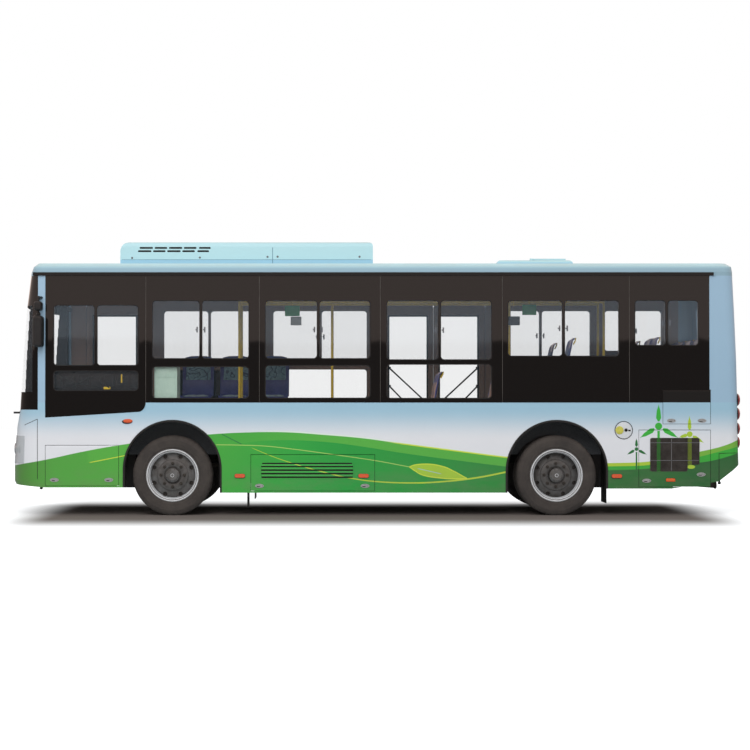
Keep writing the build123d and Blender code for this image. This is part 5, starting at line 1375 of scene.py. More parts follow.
def dress_roof_unit():
    """Joint, louvre slots, bolts, top fans and top slots of the roof unit."""
    low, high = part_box("ac_unit")
    half = high.y
    slots, bolts, joint, fans = Shape(), Shape(), Shape(), Shape()
    for side in (-1, 1):
        for z, row in AC_LOUVRES:
            for x0, x1 in row:
                y = side * (half + .0008)
                slots.plate(rounded(x0, x1, z - .0095, z + .0095, .0095), [], lambda px, pz: y, .004)
                lip = side * (half + .0045)
                slots.box((x0 + .006, y, z + .008), (x1 - .006, lip, z + .0115), .001)
        for x, z in AC_BOLTS:
            bolts.rod((x, side * (half - .002), z), (x, side * (half + .0045), z), .0085, 6)
            bolts.rod((x, side * (half - .002), z), (x, side * (half + .0018), z), .0125, 16)
        joint.box((AC_SPLIT_X - .0035, side * (half - .004), low.z + .02),
                  (AC_SPLIT_X + .0035, side * (half + .0015), high.z - .075))
        joint.box((low.x + .02, side * (half - .004), AC_BAND_Z - .002),
                  (high.x - .02, side * (half + .0012), AC_BAND_Z + .002))
    top = high.z - UNIT_DROP
    joint.box((AC_SPLIT_X - .0035, -half + .08, top - .001), (AC_SPLIT_X + .0035, half - .08, top + .0006))
    for x in (-2.45, -1.75):
        for y in (-.42, .42):
            fans.turned([(.205, 0), (.205, .012), (.195, .018), (.185, .012), (.185, 0)],
                        (x, y, top - .012), (0, 0, 1), 48)
            fans.rod((x, y, top - .010), (x, y, top - .002), .045, 24)
            for ring in (.075, .110, .145, .175):
                fans.tube([(x + ring * math.cos(t), y + ring * math.sin(t), top - .003) for t in turns(40)],
                          .0022, 6, closed=True)
            for angle in turns(6):
                fans.rod((x + .04 * math.cos(angle), y + .04 * math.sin(angle), top - .003),
                         (x + .19 * math.cos(angle), y + .19 * math.sin(angle), top - .003), .0022, 6)
            slots.rod((x, y, top - .004), (x, y, top + .0006), .186, 48)
    for x in (-1.05, -.55):
        for k in range(9):
            slots.box((x + .045 * k, -.55, top - .003), (x + .045 * k + .018, .55, top + .0008), .001)
    slots.done("unit_slots", SLOT_BLACK, slot="black_plastic")
    bolts.done("unit_bolts", SATIN, slot="roof_paint")
    joint.done("unit_joints", plain("joint_blue", (104, 140, 158), (92, 128, 146), .5), slot="roof_paint")
    fans.done("unit_fans", SLOT_BLACK, slot="black_plastic")
    lower_unit_top(high)


TAIL_SHARES = (.4573, .4017, .3424, .2883)       # lamp heights, as shares of the roof's
TAIL_Y = 1.085


def dress_tail_lamps():
    """Four round red lenses a side, each a shallow dome in a dark ring."""
    rings, domes = Shape(), Shape()
    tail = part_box("tail_lamps")[1].x
    for share in TAIL_SHARES:
        for y in (-TAIL_Y, TAIL_Y):
            z = share * ROOF
            seat = tail - .048
            domes.turned([(.0005, .047), (.020, .0462), (.040, .0430), (.056, .0370), (.067, .0280),
                          (.072, .0160), (.073, .0020), (.0005, .001)],
                         (seat, y, z), (1, 0, 0), 40)
            rings.turned([(.0730, .001), (.0730, .014), (.0755, .016), (.0775, .013), (.0778, .001)],
                         (seat, y, z), (1, 0, 0), 40)
    dome = domes.done("tail_domes", MATERIALS["tail_lamps"], slot="lamp_red", angle=60)
    ring = rings.done("tail_rings", GUTTER_BLACK, slot="black_plastic")
    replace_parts(dome, "tail_lamps")
    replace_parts(ring, "tail_lamps")


def dress_mirrors():
    """Housings with a rounded back, glass and a bent arm."""
    low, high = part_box("mirrors")
    shells, panes = Shape(), Shape()
    outline = rounded(-.082, .082, -.156, .156, .03)
    for side in (-1, 1):
        y = side * (high.y - .105)
        x = (low.x + high.x) / 2
        z = low.z + .185
        shells.ball((x - .004, y, z), (.052, .101, .183), rings=20, sides=32)
        shells.box((x + .016, y - .092, z - .168), (x + .050, y + .092, z + .168), .016)
        arm = [(x, y, z + .170), (x, y, z + .30), (x - .004, y - side * .03, z + .375),
               (x - .01, y - side * .10, z + .395), (x - .01, side * (SIDE - .06), z + .385)]
        shells.tube(arm, .0145, 14)
        shells.ball((x, y, z + .200), (.026, .026, .030), rings=8, sides=16)
        shells.ball((x, y, z + .285), (.024, .024, .034), rings=8, sides=16)
        shells.rod((x - .01, side * (SIDE - .085), z + .385), (x - .01, side * (SIDE - .035), z + .385),
                   .030, 20)
        face = x + .0505
        panes.prism([(face, y + a, z + b) for a, b in outline],
                    [(face + .0015, y + a * .985, z + b * .992) for a, b in outline])
    shells.done("mirror_shells", MATERIALS["mirrors"], slot="black_plastic")
    panes.done("mirror_glass", plain("mirror_silver", (206, 212, 216), (196, 204, 208), .06, 4.0, .0,
                                     metallic=.95), slot="glazing")


dress_louvres("flap_left_mid", -1, *SLAT_X)
dress_louvres("flap_right_mid", 1, SLAT_X[0], SLAT_X[1] - .13)
dress_grille("flap_left_rear_low", -1)
dress_grille("flap_right_rear_low", 1)
for number, (x, z, body) in enumerate(LATCHES):
    dress_latch(number, x, z, body, -1 if "left" in body else 1)
dress_filler()
dress_side_lamps()
dress_seams()
dress_gutter()
dress_roof_unit()
dress_tail_lamps()
dress_mirrors()


# Seats: places as (x, y, facing, base, squab height, fabric), the same as the source's seat rows
SEAT_W, SEAT_D, SEAT_H, BACK_H, LEAN = .410, .430, .440, .520, .090
WALL_Y, AISLE_Y = .915, .485
DECK_Z, STEP_Z, BOX_Z = .740, 1.150, 1.139
BOX_END = WHEELS["front_right"].x + .615
SEATS = (
    [(along(share), -y, "forward", DECK_Z, SEAT_H, "warm")
     for share in (.5, .584, .6646) for y in (WALL_Y, AISLE_Y)]
    + [(along(.5023), WALL_Y, "forward", DECK_Z, SEAT_H, "warm")]
    + [(along(.7647), side * WALL_Y, "forward", BOX_Z, SEAT_H, "cool") for side in (-1, 1)]
    + [(along(.8797), y, "forward", STEP_Z, SEAT_H, "cool") for y in (-WALL_Y, -AISLE_Y, AISLE_Y, WALL_Y)]
    + [(along(.9465), y, "forward", STEP_Z, SEAT_H, "cool") for y in (-WALL_Y, -AISLE_Y, 0, AISLE_Y,
                                                                      WALL_Y)]
    + [(BOX_END + .490 * k, 1.050, "inward", BOX_Z, .280, "moquette") for k in (-1, 0, 1)]
)
SHELL = MATERIALS["seats"]
FABRICS = {
    "warm": seat_fabric("fabric_warm", (196, 132, 96), (226, 176, 120), (120, 84, 74)),
    "cool": seat_fabric("fabric_cool", (74, 96, 148), (150, 178, 204), (52, 60, 96)),
    "moquette": seat_fabric("fabric_moquette", (132, 160, 170), (206, 132, 60), (50, 58, 78)),
}


def seat_frame(x, y, facing, base):
    """Places a seat's own (forward, across, up) axes in the bus."""
    angle = math.pi if facing == "forward" else -math.pi / 2
    return Matrix.Translation((x, y, base)) @ Matrix.Rotation(angle, 4, "Z")


def back_at(height, squab):
    """How far back the backrest leans at a height over the base."""
    return -LEAN * (height - squab) / BACK_H


def dress_seat(number, x, y, facing, base, squab):
    """Moulded shell with rolled rim, leg and foot flange, and the yellow grip over its head."""
    place = seat_frame(x, y, facing, base)
    half, top = SEAT_W / 2 - .004, squab + BACK_H
    cols = 12
    shell = Shape()
    # The shell's middle line runs from the squab's front edge back and up to the head
    path = [(SEAT_D - .012, squab - .052), (SEAT_D - .004, squab - .036), (SEAT_D - .012, squab - .018)]
    path += [(SEAT_D - .012 - (SEAT_D - .085) * t,
              squab - .018 - .012 * math.sin(math.pi * t)) for t in (k / 6 for k in range(1, 7))]
    path += [(.050, squab - .012), (.030, squab + .010), (.018, squab + .040)]
    path += [(.010 + back_at(squab + h, squab) + .006 * math.sin(math.pi * h / BACK_H), squab + h)
             for h in (.04 + (BACK_H - .075) * k / 8 for k in range(1, 9))]
    path += [(.006 + back_at(top - .020, squab), top - .018),
             (-.002 + back_at(top - .008, squab), top - .006), (-.012 + back_at(top, squab), top - .004)]
    count = len(path)
    grid = []
    for u, w in path:
        head = max(0.0, (w - (top - .13)) / .13)
        width = half * (1 - .16 * head ** 2.2)
        line = []
        for col in range(cols + 1):
            s = -1 + 2 * col / cols
            curl = .020 * abs(s) ** 6
            forward = curl if w > squab + .02 else 0.0
            upward = curl if w <= squab + .02 else 0.0
            drop = .022 * abs(s) ** 3 * head
            line.append(place @ Vector((u + forward, s * width, w + upward - drop)))
        grid.append(line)
    verts = [v for line in grid for v in line]
    wide = cols + 1
    faces = [(r * wide + c, r * wide + c + 1, (r + 1) * wide + c + 1, (r + 1) * wide + c)
             for r in range(count - 1) for c in range(cols)]
    shell.take(verts, faces)
    bmesh.ops.recalc_face_normals(shell.bm, faces=shell.bm.faces)
    bmesh.ops.solidify(shell.bm, geom=shell.bm.faces[:], thickness=.008)
    leg0, leg1 = place @ Vector((.24, 0, .004)), place @ Vector((.24, 0, squab - .03))
    shell.rod(leg0, leg1, .022, 16)
    shell.rod(leg0, leg0 + Vector((0, 0, .012)), .055, 24, .045)
    shell.rod(place @ Vector((.12, 0, squab - .040)), place @ Vector((.34, 0, squab - .040)), .018, 12)
    shell.done(f"shell_{number}", SHELL, slot="seat_plastic", angle=40)
    rail = Shape()
    grip = [place @ Vector((back_at(squab + h, squab) - .006 + d, s * .70 * half, squab + h))
            for s, h, d in ((-1, BACK_H - .085, .0), (-1, BACK_H - .04, -.014),
                            (-.72, BACK_H - .012, -.018), (.72, BACK_H - .012, -.018),
                            (1, BACK_H - .04, -.014), (1, BACK_H - .085, .0))]
    rail.tube(grip, .008, 10)
    rail.done(f"grip_{number}", MATERIALS["grab_rails"], slot="rail_paint")
    return place, half


def cushion(name, place, corners, thick, fabric):
    """A soft pad over a four-cornered patch, given as (forward, across, up) points."""
    steps_u, steps_v = 10, 10
    a, b, c, d = (Vector(p) for p in corners)
    normal = (b - a).cross(d - a).normalized()
    verts, faces = [], []
    for layer in (0, 1):
        for i in range(steps_u + 1):
            for j in range(steps_v + 1):
                s, t = i / steps_u, j / steps_v
                point = a.lerp(b, s).lerp(d.lerp(c, s), t)
                edge = min(s, 1 - s, t, 1 - t) * 2
                rise = thick * (1 - (1 - min(1, edge * 1.6)) ** 3)
                seam = .0035 * math.exp(-((t - .5) / .03) ** 2) * min(1, edge * 4)
                verts.append(place @ (point + normal * (rise - seam if layer else .0005)))
    count = (steps_u + 1) * (steps_v + 1)
    index = lambda layer, i, j: layer * count + i * (steps_v + 1) + j
    for i in range(steps_u):
        for j in range(steps_v):
            faces.append((index(1, i, j), index(1, i + 1, j), index(1, i + 1, j + 1), index(1, i, j + 1)))
            faces.append((index(0, i, j), index(0, i, j + 1), index(0, i + 1, j + 1), index(0, i + 1, j)))
    rim = [(i, 0) for i in range(steps_u)] + [(steps_u, j) for j in range(steps_v)]
    rim += [(i, steps_v) for i in range(steps_u, 0, -1)] + [(0, j) for j in range(steps_v, 0, -1)]
    for (i, j), (k, l) in zip(rim, rim[1:] + rim[:1]):
        faces.append((index(0, i, j), index(0, k, l), index(1, k, l), index(1, i, j)))
    add(name, verts, faces, FABRICS[fabric], "body")


def dress_seats():
    """Every seat's shell with its back and squab pads."""
    for number, (*where, squab, fabric) in enumerate(SEATS):
        place, half = dress_seat(number, *where, squab)
        inset = half - .035
        lean = lambda h: .020 + back_at(squab + h, squab)
        low, high = (.20, .44) if fabric == "moquette" else (.10, .40)
        head, front = inset * .92, SEAT_D - .040
        cushion(f"back_pad_{number}", place,
                ((lean(low), -inset, squab + low), (lean(low), inset, squab + low),
                 (lean(high), head, squab + high), (lean(high), -head, squab + high)), .022, fabric)
        cushion(f"squab_pad_{number}", place,
                ((.085, -inset, squab - .022), (front, -inset, squab - .018),
                 (front, inset, squab - .018), (.085, inset, squab - .022)), .026, fabric)
    for made in [obj for obj in bpy.data.objects if obj.name.startswith("shell_")]:
        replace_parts(made, "seats")


dress_seats()


# Fittings seen through the windows, and what hangs from the ceiling
SIGN_GREEN = plain("sign_green", (40, 148, 74), (34, 132, 66), .4, 10.0, .05)
SIGN_GREY = plain("sign_grey", (150, 152, 150), (136, 138, 136), .5, 14.0, .1)
SCREEN_BLACK = plain("screen_black", (16, 16, 18), (22, 22, 24), .3, 20.0, .1)
LINING = plain("lining", (146, 122, 108), (132, 110, 98), .7, 3.0, .1)
YELLOW = MATERIALS["grab_rails"]

EXIT_SIGNS = ((-1.05, -.87, 2.371, 2.50), (1.82, 1.99, 2.385, 2.512))     # x0, x1, z0, z1
NOTICE_BOX = (-.98, -.85, 2.26, 2.365)
SCREEN = (1.63, 1.79, 2.26, 2.368)
SIGN_Y = -.62
HANGERS_X = (-.96, 1.71, 1.90)
HANGER_Z = (2.49, 2.80)
RIB_SHARES = (.12, .24, .36, .48, .60, .72, .84)
LAMP_SHARES = (.15, .27, .39, .51, .63, .75)
FARE_BOX = ((-3.36, -.28, 1.30), (-3.16, -.12, 1.62))
FARE_POST = ((-3.26, -.20, .745), (-3.26, -.20, 1.31))
LEDGE = ((-3.84, -1.155, 1.36), (-2.62, -1.125, 1.700))
LEDGE_MARKS = (((-3.17, -1.166, 1.483), (-3.09, -1.156, 1.512), .004),
               ((-2.965, -1.166, 1.56), (-2.950, -1.156, 1.66), .003))
LEDGE_HOSE = ((-3.70, -1.160, 1.66), (-3.50, -1.166, 1.55), (-3.30, -1.160, 1.62), (-3.10, -1.166, 1.50))


def slab(name, x0, x1, z0, z1, y, deep, material, slot="cabinet_paint"):
    made = Shape()
    made.box((x0, y - deep / 2, z0), (x1, y + deep / 2, z1), .008)
    return made.done(name, material, slot=slot)


def dress_signs():
    """Blank exit signs on grey boxes under the ceiling, and a dark screen."""
    for number, (x0, x1, z0, z1) in enumerate(EXIT_SIGNS):
        slab(f"exit_sign_{number}", x0, x1, z0, z1, SIGN_Y, .024, SIGN_GREEN)
    slab("notice_box", *NOTICE_BOX, SIGN_Y, .05, SIGN_GREY)
    slab("screen", *SCREEN, SIGN_Y, .05, SCREEN_BLACK, "black_plastic")
    hangers = Shape()
    for x in HANGERS_X:
        hangers.rod((x, SIGN_Y, HANGER_Z[0]), (x, SIGN_Y, HANGER_Z[1]), .009, 10)
    hangers.done("hangers", YELLOW, slot="rail_paint")


def dress_ceiling():
    """Lining ribs and two rows of lamps."""
    ribs, lamps = Shape(), Shape()
    for share in RIB_SHARES:
        x = along(share)
        ribs.box((x - .018, -1.02, ROOF - .075), (x + .018, 1.02, ROOF - .060), .004)
    ribs.done("ceiling_ribs", LINING, slot="cabinet_paint")
    for side in (-1, 1):
        y = side * .52
        for share in LAMP_SHARES:
            x = along(share)
            lamps.box((x, y - .05, ROOF - .085), (x + .85, y + .05, ROOF - .062), .012)
    lamps.done("ceiling_lamps", lamp_glass("strip_lamp", (236, 238, 236)), slot="lamp_clear")


def dress_cabinet():
    """Louvres and a raised lid on both sides of the cabinet behind the driver."""
    low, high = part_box("cabinet")
    slots, lid = Shape(), Shape()
    for side_y, sign in ((low.y, -1), (high.y, 1)):
        for k in range(6):
            z = low.z + .10 + .026 * k
            slots.box((low.x + .035, side_y, z),
                      (low.x + .12, side_y + sign * .004, z + .010), .002)
        lid.box((low.x + .018, side_y, high.z - .13),
                (high.x - .018, side_y + sign * .005, high.z - .016), .003)
    slots.done("cabinet_louvres", SIGN_GREY, slot="cabinet_paint")
    lid.done("cabinet_lid", MATERIALS["cabinet"], slot="cabinet_paint")


def dress_driver():
    """Dials, switch rows, the fare box, the side ledge with its clutter, and the seat's belt and pad."""
    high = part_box("dashboard")[1]
    top = high.z
    dials, bezels, buttons = Shape(), Shape(), Shape()
    wheel_low, wheel_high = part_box("steering_wheel")
    centre = (wheel_low + wheel_high) / 2
    for k, reach in enumerate((-.16, -.055, .055, .16)):
        spot = Vector((high.x - .020, centre.y + reach, top - .06))
        bezels.rod(spot, spot + Vector((.026, 0, .010)), .044, 28)
        dials.rod(spot + Vector((.024, 0, .009)), spot + Vector((.028, 0, .0105)), .036, 28)
    for k in range(7):
        for row in (0, 1):
            y = centre.y + .34 + .052 * k
            buttons.box((high.x - .010, y - .018, top - .10 - .055 * row),
                        (high.x + .012, y + .018, top - .062 - .055 * row), .004)
    bezels.done("dial_bezels", SCREEN_BLACK, slot="black_plastic")
    dials.done("dial_faces", SIGN_GREY, slot="cabinet_paint")
    buttons.done("dash_switches", SCREEN_BLACK, slot="black_plastic")
    box = Shape()
    box.box(*FARE_BOX, .02)
    box.rod(*FARE_POST, .022, 14)
    box.done("fare_box", YELLOW, slot="rail_paint")
    ledge, clutter, bits = Shape(), Shape(), Shape()
    ledge.box(*LEDGE, .010)
    for k in range(7):
        x = -3.78 + .155 * k
        clutter.box((x, -1.164, 1.50 + .02 * (k % 3)), (x + .12, -1.152, 1.655 - .015 * (k % 2)), .008)
    clutter.tube(LEDGE_HOSE, .007, 8)
    for mark in LEDGE_MARKS:
        bits.box(*mark)
    ledge.done("driver_ledge", SCREEN_BLACK, slot="black_plastic")
    clutter.done("ledge_fittings", MATERIALS["dashboard"], slot="black_plastic")
    bits.done("ledge_marks", YELLOW, slot="rail_paint")
    belt = Shape()
    seat_low, seat_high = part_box("driver_seat")
    y = seat_low.y + .02
    belt.box((seat_high.x - .10, y - .002, seat_low.z + .50),
             (seat_high.x - .05, y + .002, seat_high.z - .12), .001)
    belt.done("driver_belt", SEAL, slot="rubber")
    cushion("driver_back_pad", Matrix.Identity(4),
            ((seat_high.x - .16, seat_low.y + .06, seat_low.z + .62),
             (seat_high.x - .10, seat_low.y + .06, seat_high.z - .22),
             (seat_high.x - .10, seat_high.y - .06, seat_high.z - .22),
             (seat_high.x - .16, seat_high.y - .06, seat_low.z + .62)), -.02, "warm")


dress_signs()
dress_ceiling()
dress_cabinet()
dress_driver()


# Front, rear, doors and underside
TAIL = NOSE + LENGTH
END_KEEP = .0032                        # how far any laid piece stays inside the bus's own length
JOINT_BLACK = plain("seam_black", (20, 20, 21), (28, 28, 28), .6, 20.0, .1)
PLATE_WHITE = plain("plate_blank", (206, 206, 202), (196, 196, 192), .4, 10.0, .05)
RED_LENS = MATERIALS["tail_lamps"]
AMBER_LENS = MATERIALS["side_lamps"]
INDICATOR_REACH = .055
ARCH_REACH = .635
FRONT_SEAMS = (((-.62, .76), (-.58, 1.12), (.58, 1.12), (.62, .76), (-.62, .76)), ((-1.10, .60), (1.10, .60)),
               ((-.42, .60), (-.42, .30)), ((.42, .60), (.42, .30)))          # as (y, z) points
REAR_SEAMS = (((-1.0, 1.50), (1.0, 1.50)), ((-1.02, 2.62), (-.22, 2.62)), ((.22, 2.62), (1.02, 2.62)))
LAMP_ROWS = ((.785, .066), (.925, .052))          # y and radius of each headlamp ring
LAMP_Z = .775
EXHAUST = ((3.95, -.62, .345), (4.16, -.62, .330))
PILLAR_Y = 1.085
WIPER_ARM = ((-4.130, 1.460), (-4.172, 1.420), (-4.205, 1.240), (-4.192, 1.165))     # as (x, z) points
STEP_TOP = .62                          # the free edge swings past the step below this height
PLATE_HALF, FRAME_HALF = .220, .235     # half-widths of a number plate and of its frame


def tree_of(*names):
    """The joined surface of some nodes, for laying details on."""
    verts, faces = [], []
    for name in names:
        mesh, start = nodes[name].data, len(verts)
        verts += [vertex.co.copy() for vertex in mesh.vertices]
        faces += [[start + index for index in polygon.vertices] for polygon in mesh.polygons]
    return BVHTree.FromPolygons(verts, faces)


def end_limit(end):
    """The x that nothing laid on an end may pass."""
    return (NOSE if end < 0 else TAIL) - end * END_KEEP


def end_spot(tree, end, y, z):
    """The point of an end's skin at (y, z), kept inside the bus's own length."""
    spot = tree.ray_cast(Vector((end * 6, y, z)), Vector((-end, 0, 0)))[0]
    if spot is None:
        return None
    keep = max if end < 0 else min
    return Vector((keep(spot.x, end_limit(end)), y, z))


def end_seam(shape, tree, end, points):
    """A dark joint line laid along an end's skin through (y, z) points."""
    places = [(y0 + (y1 - y0) * k / 8, z0 + (z1 - z0) * k / 8)
              for (y0, z0), (y1, z1) in zip(points, points[1:]) for k in range(8)]
    laid = [end_spot(tree, end, *place) for place in [*places, points[-1]]]
    laid = [spot for spot in laid if spot is not None]
    if len(laid) > 1:
        shape.tube(laid, .0028, 6)


def end_pad(shape, tree, end, y0, y1, z0, z1, proud, deep=.012, bevel=.003):
    """A small block seated on an end's skin."""
    spots = [end_spot(tree, end, y, z) for y in (y0, y1) for z in (z0, z1)]
    spots = [spot.x for spot in spots if spot is not None]
    face = (min(spots) if end < 0 else max(spots)) + end * proud
    face = max(face, end_limit(end)) if end < 0 else min(face, end_limit(end))
    shape.box((face, y0, z0), (face - end * deep, y1, z1), bevel)


def dress_front():
    """Panel joints, the grille slats, the number plate, lamp rings and indicators."""
    tree = tree_of("front_panel", "headlamps")
    seams, slats, plate, rings, bowls, amber, frame = (Shape() for _ in range(7))
    for route in FRONT_SEAMS:
        end_seam(seams, tree, -1, route)
    for k in range(5):
        for step in range(10):
            y = -.50 + .10 * step
            end_pad(slats, tree, -1, y + .002, y + .098, .635 + .022 * k, .647 + .022 * k, .004, .010, .002)
    end_pad(frame, tree, -1, -FRAME_HALF, FRAME_HALF, .790, .915, .005, .010)
    end_pad(plate, tree, -1, -PLATE_HALF, PLATE_HALF, .800, .905, .008, .010, .002)
    for side in (-1, 1):
        for y, radius in LAMP_ROWS:
            spot = end_spot(tree, -1, side * y, LAMP_Z)
            if spot is None:
                continue
            rings.turned([(radius, -.004), (radius, .003), (radius - .006, .005), (radius - .012, .001),
                          (radius - .012, -.004)], spot, (-1, 0, 0), 40)
            bowls.ball(spot + Vector((.010, 0, 0)), (.014, radius - .013, radius - .013), rings=8, sides=28)
        for k in range(3):
            spot = end_spot(tree, -1, side * (1.035 + .035 * k), LAMP_Z)
            if spot is not None:
                amber.ball(spot + Vector((.004, 0, 0)), (.010, .015, INDICATOR_REACH), rings=8, sides=16)
    seams.done("front_seams", JOINT_BLACK, slot="rubber")
    slats.done("front_slats", JOINT_BLACK, slot="black_plastic")
    frame.done("front_plate_frame", JOINT_BLACK, slot="black_plastic")
    plate.done("front_plate", PLATE_WHITE, slot="cabinet_paint")
    rings.done("front_rings", CHROME, slot="cast_parts")
    bowls.done("front_bowls", MATERIALS["headlamps"], slot="lamp_clear")
    amber.done("front_indicators", lamp_glass("indicator_clear", (166, 170, 172)), slot="lamp_clear")


def dress_rear():
    """The engine lid's louvres, handle and plate, the reflectors, panel joints and the exhaust's end."""
    lid = tree_of("engine_lid")
    tree = tree_of("rear_panel", "rear_bumper", "rear_window")
    slats, handle, plate, frame, lamps, seams, brake = (Shape() for _ in range(7))
    for k in range(11):
        for y0, y1 in ((-.70, -.26), (-.22, .22), (.26, .70)):
            end_pad(slats, lid, 1, y0, y1, .880 + .026 * k, .893 + .026 * k, .005, .010, .003)
    end_pad(handle, lid, 1, -.085, .085, .805, .835, .012, .020, .006)
    end_pad(frame, lid, 1, -FRAME_HALF, FRAME_HALF, 1.250, 1.375, .003, .008)
    end_pad(plate, lid, 1, -PLATE_HALF, PLATE_HALF, 1.260, 1.365, .006, .008, .002)
    for y in (-.72, .72):
        end_pad(handle, lid, 1, y - .020, y + .020, .790, .830, .008, .014, .008)
    slats.done("lid_louvres", JOINT_BLACK, "engine_lid", "black_plastic")
    handle.done("lid_handle", SATIN, "engine_lid", "cast_parts")
    frame.done("rear_plate_frame", JOINT_BLACK, "engine_lid", "black_plastic")
    plate.done("rear_plate", PLATE_WHITE, "engine_lid", "cabinet_paint")
    for y in (-.92, .92):
        end_pad(lamps, tree, 1, y - .07, y + .07, .655, .700, .004, .010)
    end_pad(brake, tree, 1, -.16, .16, 2.600, 2.630, .004, .012)
    lamps.done("rear_reflectors", RED_LENS, slot="lamp_red")
    brake.done("high_brake_lamp", RED_LENS, slot="lamp_red")
    for route in REAR_SEAMS:
        end_seam(seams, tree, 1, route)
    seams.done("rear_seams", JOINT_BLACK, slot="rubber")
    pipe = Shape()
    pipe.rod(*EXHAUST, .038, 24)
    pipe.turned([(.045, -.020), (.045, .002), (.036, .002), (.036, -.020)], EXHAUST[1], (1, 0, 0), 24)
    pipe.done("exhaust_end", MATERIALS["rear_axle"], slot="cast_parts")


def dress_doors():
    """Edge rubbers, glass seals, diagonal bars inside and a pull outside on each leaf."""
    for name, lean in (("door_front", 0), ("door_mid_front", 1), ("door_mid_rear", -1)):
        low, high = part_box(name)
        glass_low, glass_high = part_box(name + "_glass")
        rubbers, seals, bars, pull = (Shape() for _ in range(4))
        for x, out in ((low.x, -1), (high.x, 1)):
            foot = STEP_TOP if name == "door_front" and out > 0 else low.z + .02
            rubbers.box((x, low.y + .010, foot),
                        (x + out * .004, high.y - .008, high.z - .02), .0015)
        rubbers.box((low.x + .02, low.y + .010, low.z - .003), (high.x - .02, high.y - .008, low.z + .002),
                    .001)
        rubbers.done("rubbers_" + name, SEAL, name, "rubber")
        y = high.y - .0005
        outer, opening = (rounded(glass_low.x - grow, glass_high.x + grow, glass_low.z - grow,
                                  glass_high.z + grow, r) for grow, r in ((.010, .05), (-.012, .04)))
        seals.plate(outer, [opening], lambda x, z: y, .010)
        seals.done("seal_" + name, SEAL, name, "rubber")
        inner = low.y - .016
        x0, x1 = glass_low.x + .03, glass_high.x - .03
        front, rear = (x0, x1) if lean >= 0 else (x1, x0)
        for high_z, low_z, reach in ((1.767, 1.330, 1.0), (1.530, 1.240, .60)):
            end = front + (rear - front) * reach
            bars.tube([(front, low.y + .004, high_z + .020), (front, inner, high_z),
                       (end, inner, low_z), (end, low.y + .004, low_z - .020)], .0115, 12)
        bars.done("bars_" + name, SEAL, name, "black_plastic")
        middle = (low.x + high.x) / 2
        pull.box((middle - .045, high.y - .004, low.z + .055),
                 (middle + .045, high.y - .0005, low.z + .085), .002)
        pull.done("pull_" + name, SATIN, name, "cast_parts")


def dress_under():
    """Splash plates beside each wheel, rails under the sills and two air lines."""
    plates, sills, lines = Shape(), Shape(), Shape()
    for corner, centre in WHEELS.items():
        side = -1 if corner.endswith("left") else 1
        for way in (-1, 1):
            x0, x1 = centre.x + way * .500, centre.x + way * ARCH_REACH
            plates.box((x0, side * .632, .300), (x1, side * .638, .790),
                       .002)
    front, rear = WHEELS["front_left"].x, WHEELS["rear_left"].x
    for x0, x1, foot in ((NOSE + .42, front - .66, .325), (front + .96, rear - .66, .275),
                         (rear + .70, TAIL - .80, .322), (TAIL - .80, TAIL - .32, .362)):
        sills.box((x0, -1.120, foot), (x1, -1.110, .520), .002)
    for y in (-.30, .34):
        lines.tube([(front + .40, y, .60), (0, y, .585), (rear - .55, y, .60)], .012, 10)
    plates.done("splash_plates", MATERIALS["mudflaps"], slot="rubber")
    sills.done("sill_rails", MATERIALS["chassis_frame"], slot="frame_steel")
    lines.done("air_lines", MATERIALS["mudflaps"], slot="rubber")


def side_seam(shape, tree, side, points, radius=.0032):
    """A dark joint line laid along a side's skin through (x, z) points."""
    laid = []
    for (x0, z0), (x1, z1) in zip(points, points[1:]):
        for k in range(9):
            x, z = x0 + (x1 - x0) * k / 8, z0 + (z1 - z0) * k / 8
            spot = tree.ray_cast(Vector((x, side * 3, z)), Vector((0, -side, 0)))[0]
            if spot is not None:
                laid.append(spot)
    if len(laid) > 1:
        shape.tube(laid, radius, 6)


# Joint lines on the sides, as (x, z) points, and the towing knobs' places
CORNER_SEAMS = (((-3.94, .325), (-3.94, 1.132), (-4.10, 1.063)), ((4.07, .405), (4.07, .729), (4.28, .736)))
SIDE_STROKE = ((-1.77, .954), (-1.54, .838))
TOWING_KNOBS = ((-3.915, .312), (4.10, .372))
KNOB_Y = 1.10
FLAP_REFLECTOR = (3.445, 3.555, .398, .438)       # x0, x1, z0, z1


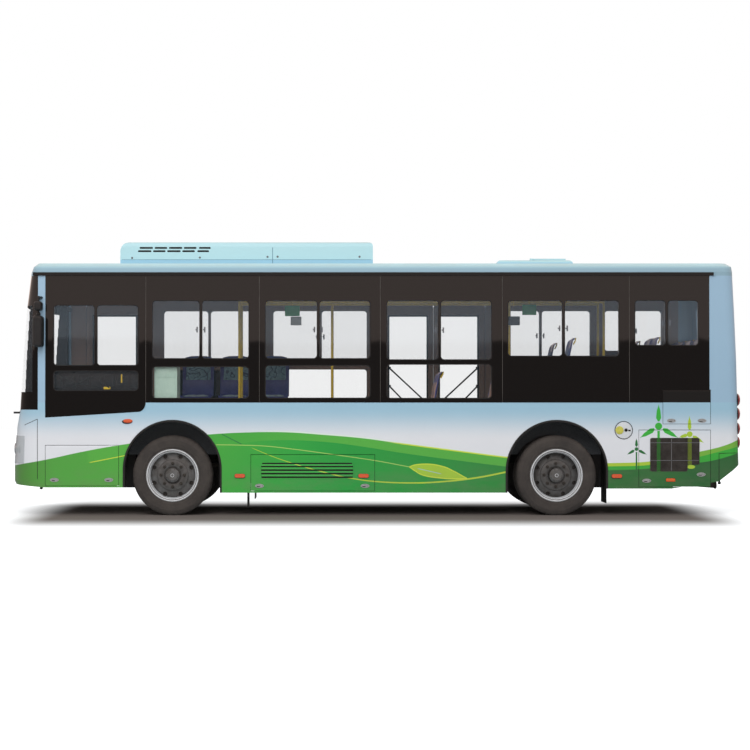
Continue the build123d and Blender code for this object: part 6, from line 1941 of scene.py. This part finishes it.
def dress_corners():
    """Joints of the front corner panels and the rear bumper, and the towing knobs below them."""
    tree = tree_of("front_panel", "skirt_left", "skirt_right", "rear_bumper", "rear_panel")
    seams, knobs, stroke = Shape(), Shape(), Shape()
    for side in (-1, 1):
        for route in CORNER_SEAMS:
            side_seam(seams, tree, side, route)
        for x, z in TOWING_KNOBS:
            knobs.rod((x, side * KNOB_Y, z + .060), (x, side * KNOB_Y, z + .004), .012, 12)
            knobs.ball((x, side * KNOB_Y, z + .004), (.020, .020, .016), rings=8, sides=14)
        side_seam(stroke, tree, side, SIDE_STROKE, .004)
    seams.done("corner_seams", JOINT_BLACK, slot="rubber")
    knobs.done("towing_knobs", JOINT_BLACK, slot="cast_parts")
    stroke.done("side_strokes", plain("stroke_green", (22, 112, 74), (20, 100, 66), .4, 10.0, .05),
                slot="rubber")
    reflector = Shape()
    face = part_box("flap_left_rear_low")[0].y
    x0, x1, z0, z1 = FLAP_REFLECTOR
    reflector.box((x0, face - .004, z0), (x1, face + .004, z1), .010)
    reflector.done("flap_reflector", AMBER_LENS, "flap_left_rear_low", "lamp_red")


def dress_pillars():
    """Dark trim behind the windscreen's corners, a pillar cover whose black is partly painted shade for the
    dark cabin seen there, and the wipers' arms.
    """
    glass = tree_of("windshield")
    trim, arms = Shape(), Shape()
    # Painted shade in part: the trim's black stands for the dark cabin behind the glass corners.
    for side in (-1, 1):
        for k in range(12):
            z = 1.37 + .115 * k
            y = side * PILLAR_Y
            spot = glass.ray_cast(Vector((-6, y, z + .057)), Vector((1, 0, 0)))[0]
            if spot is not None:
                trim.box((spot.x + .030, y - .006, z), (-3.94, y + .006, z + .116), .001)
    for y in (-.45, .35):
        arms.tube([(x, y, z) for x, z in WIPER_ARM], .008, 8)
    trim.done("pillar_trim", SCREEN_BLACK, slot="black_plastic", smooth=False)
    arms.done("wiper_arms", JOINT_BLACK, slot="black_plastic")


def dress_hatch():
    """Two hinge plates and a latch plate on the roof hatch's lid."""
    low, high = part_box("hatch_lid")
    trim = Shape()
    for y in (low.y + .12, high.y - .12):
        trim.box((low.x + .010, y - .03, high.z - .0045), (low.x + .055, y + .03, high.z - .0005), .002)
    trim.box((high.x - .060, -.05, high.z - .0045), (high.x - .030, .05, high.z - .0005), .002)
    trim.done("hatch_trim", SATIN, "hatch_lid", "cast_parts")


dress_front()
dress_rear()
dress_doors()
dress_under()
dress_corners()
dress_pillars()
dress_hatch()
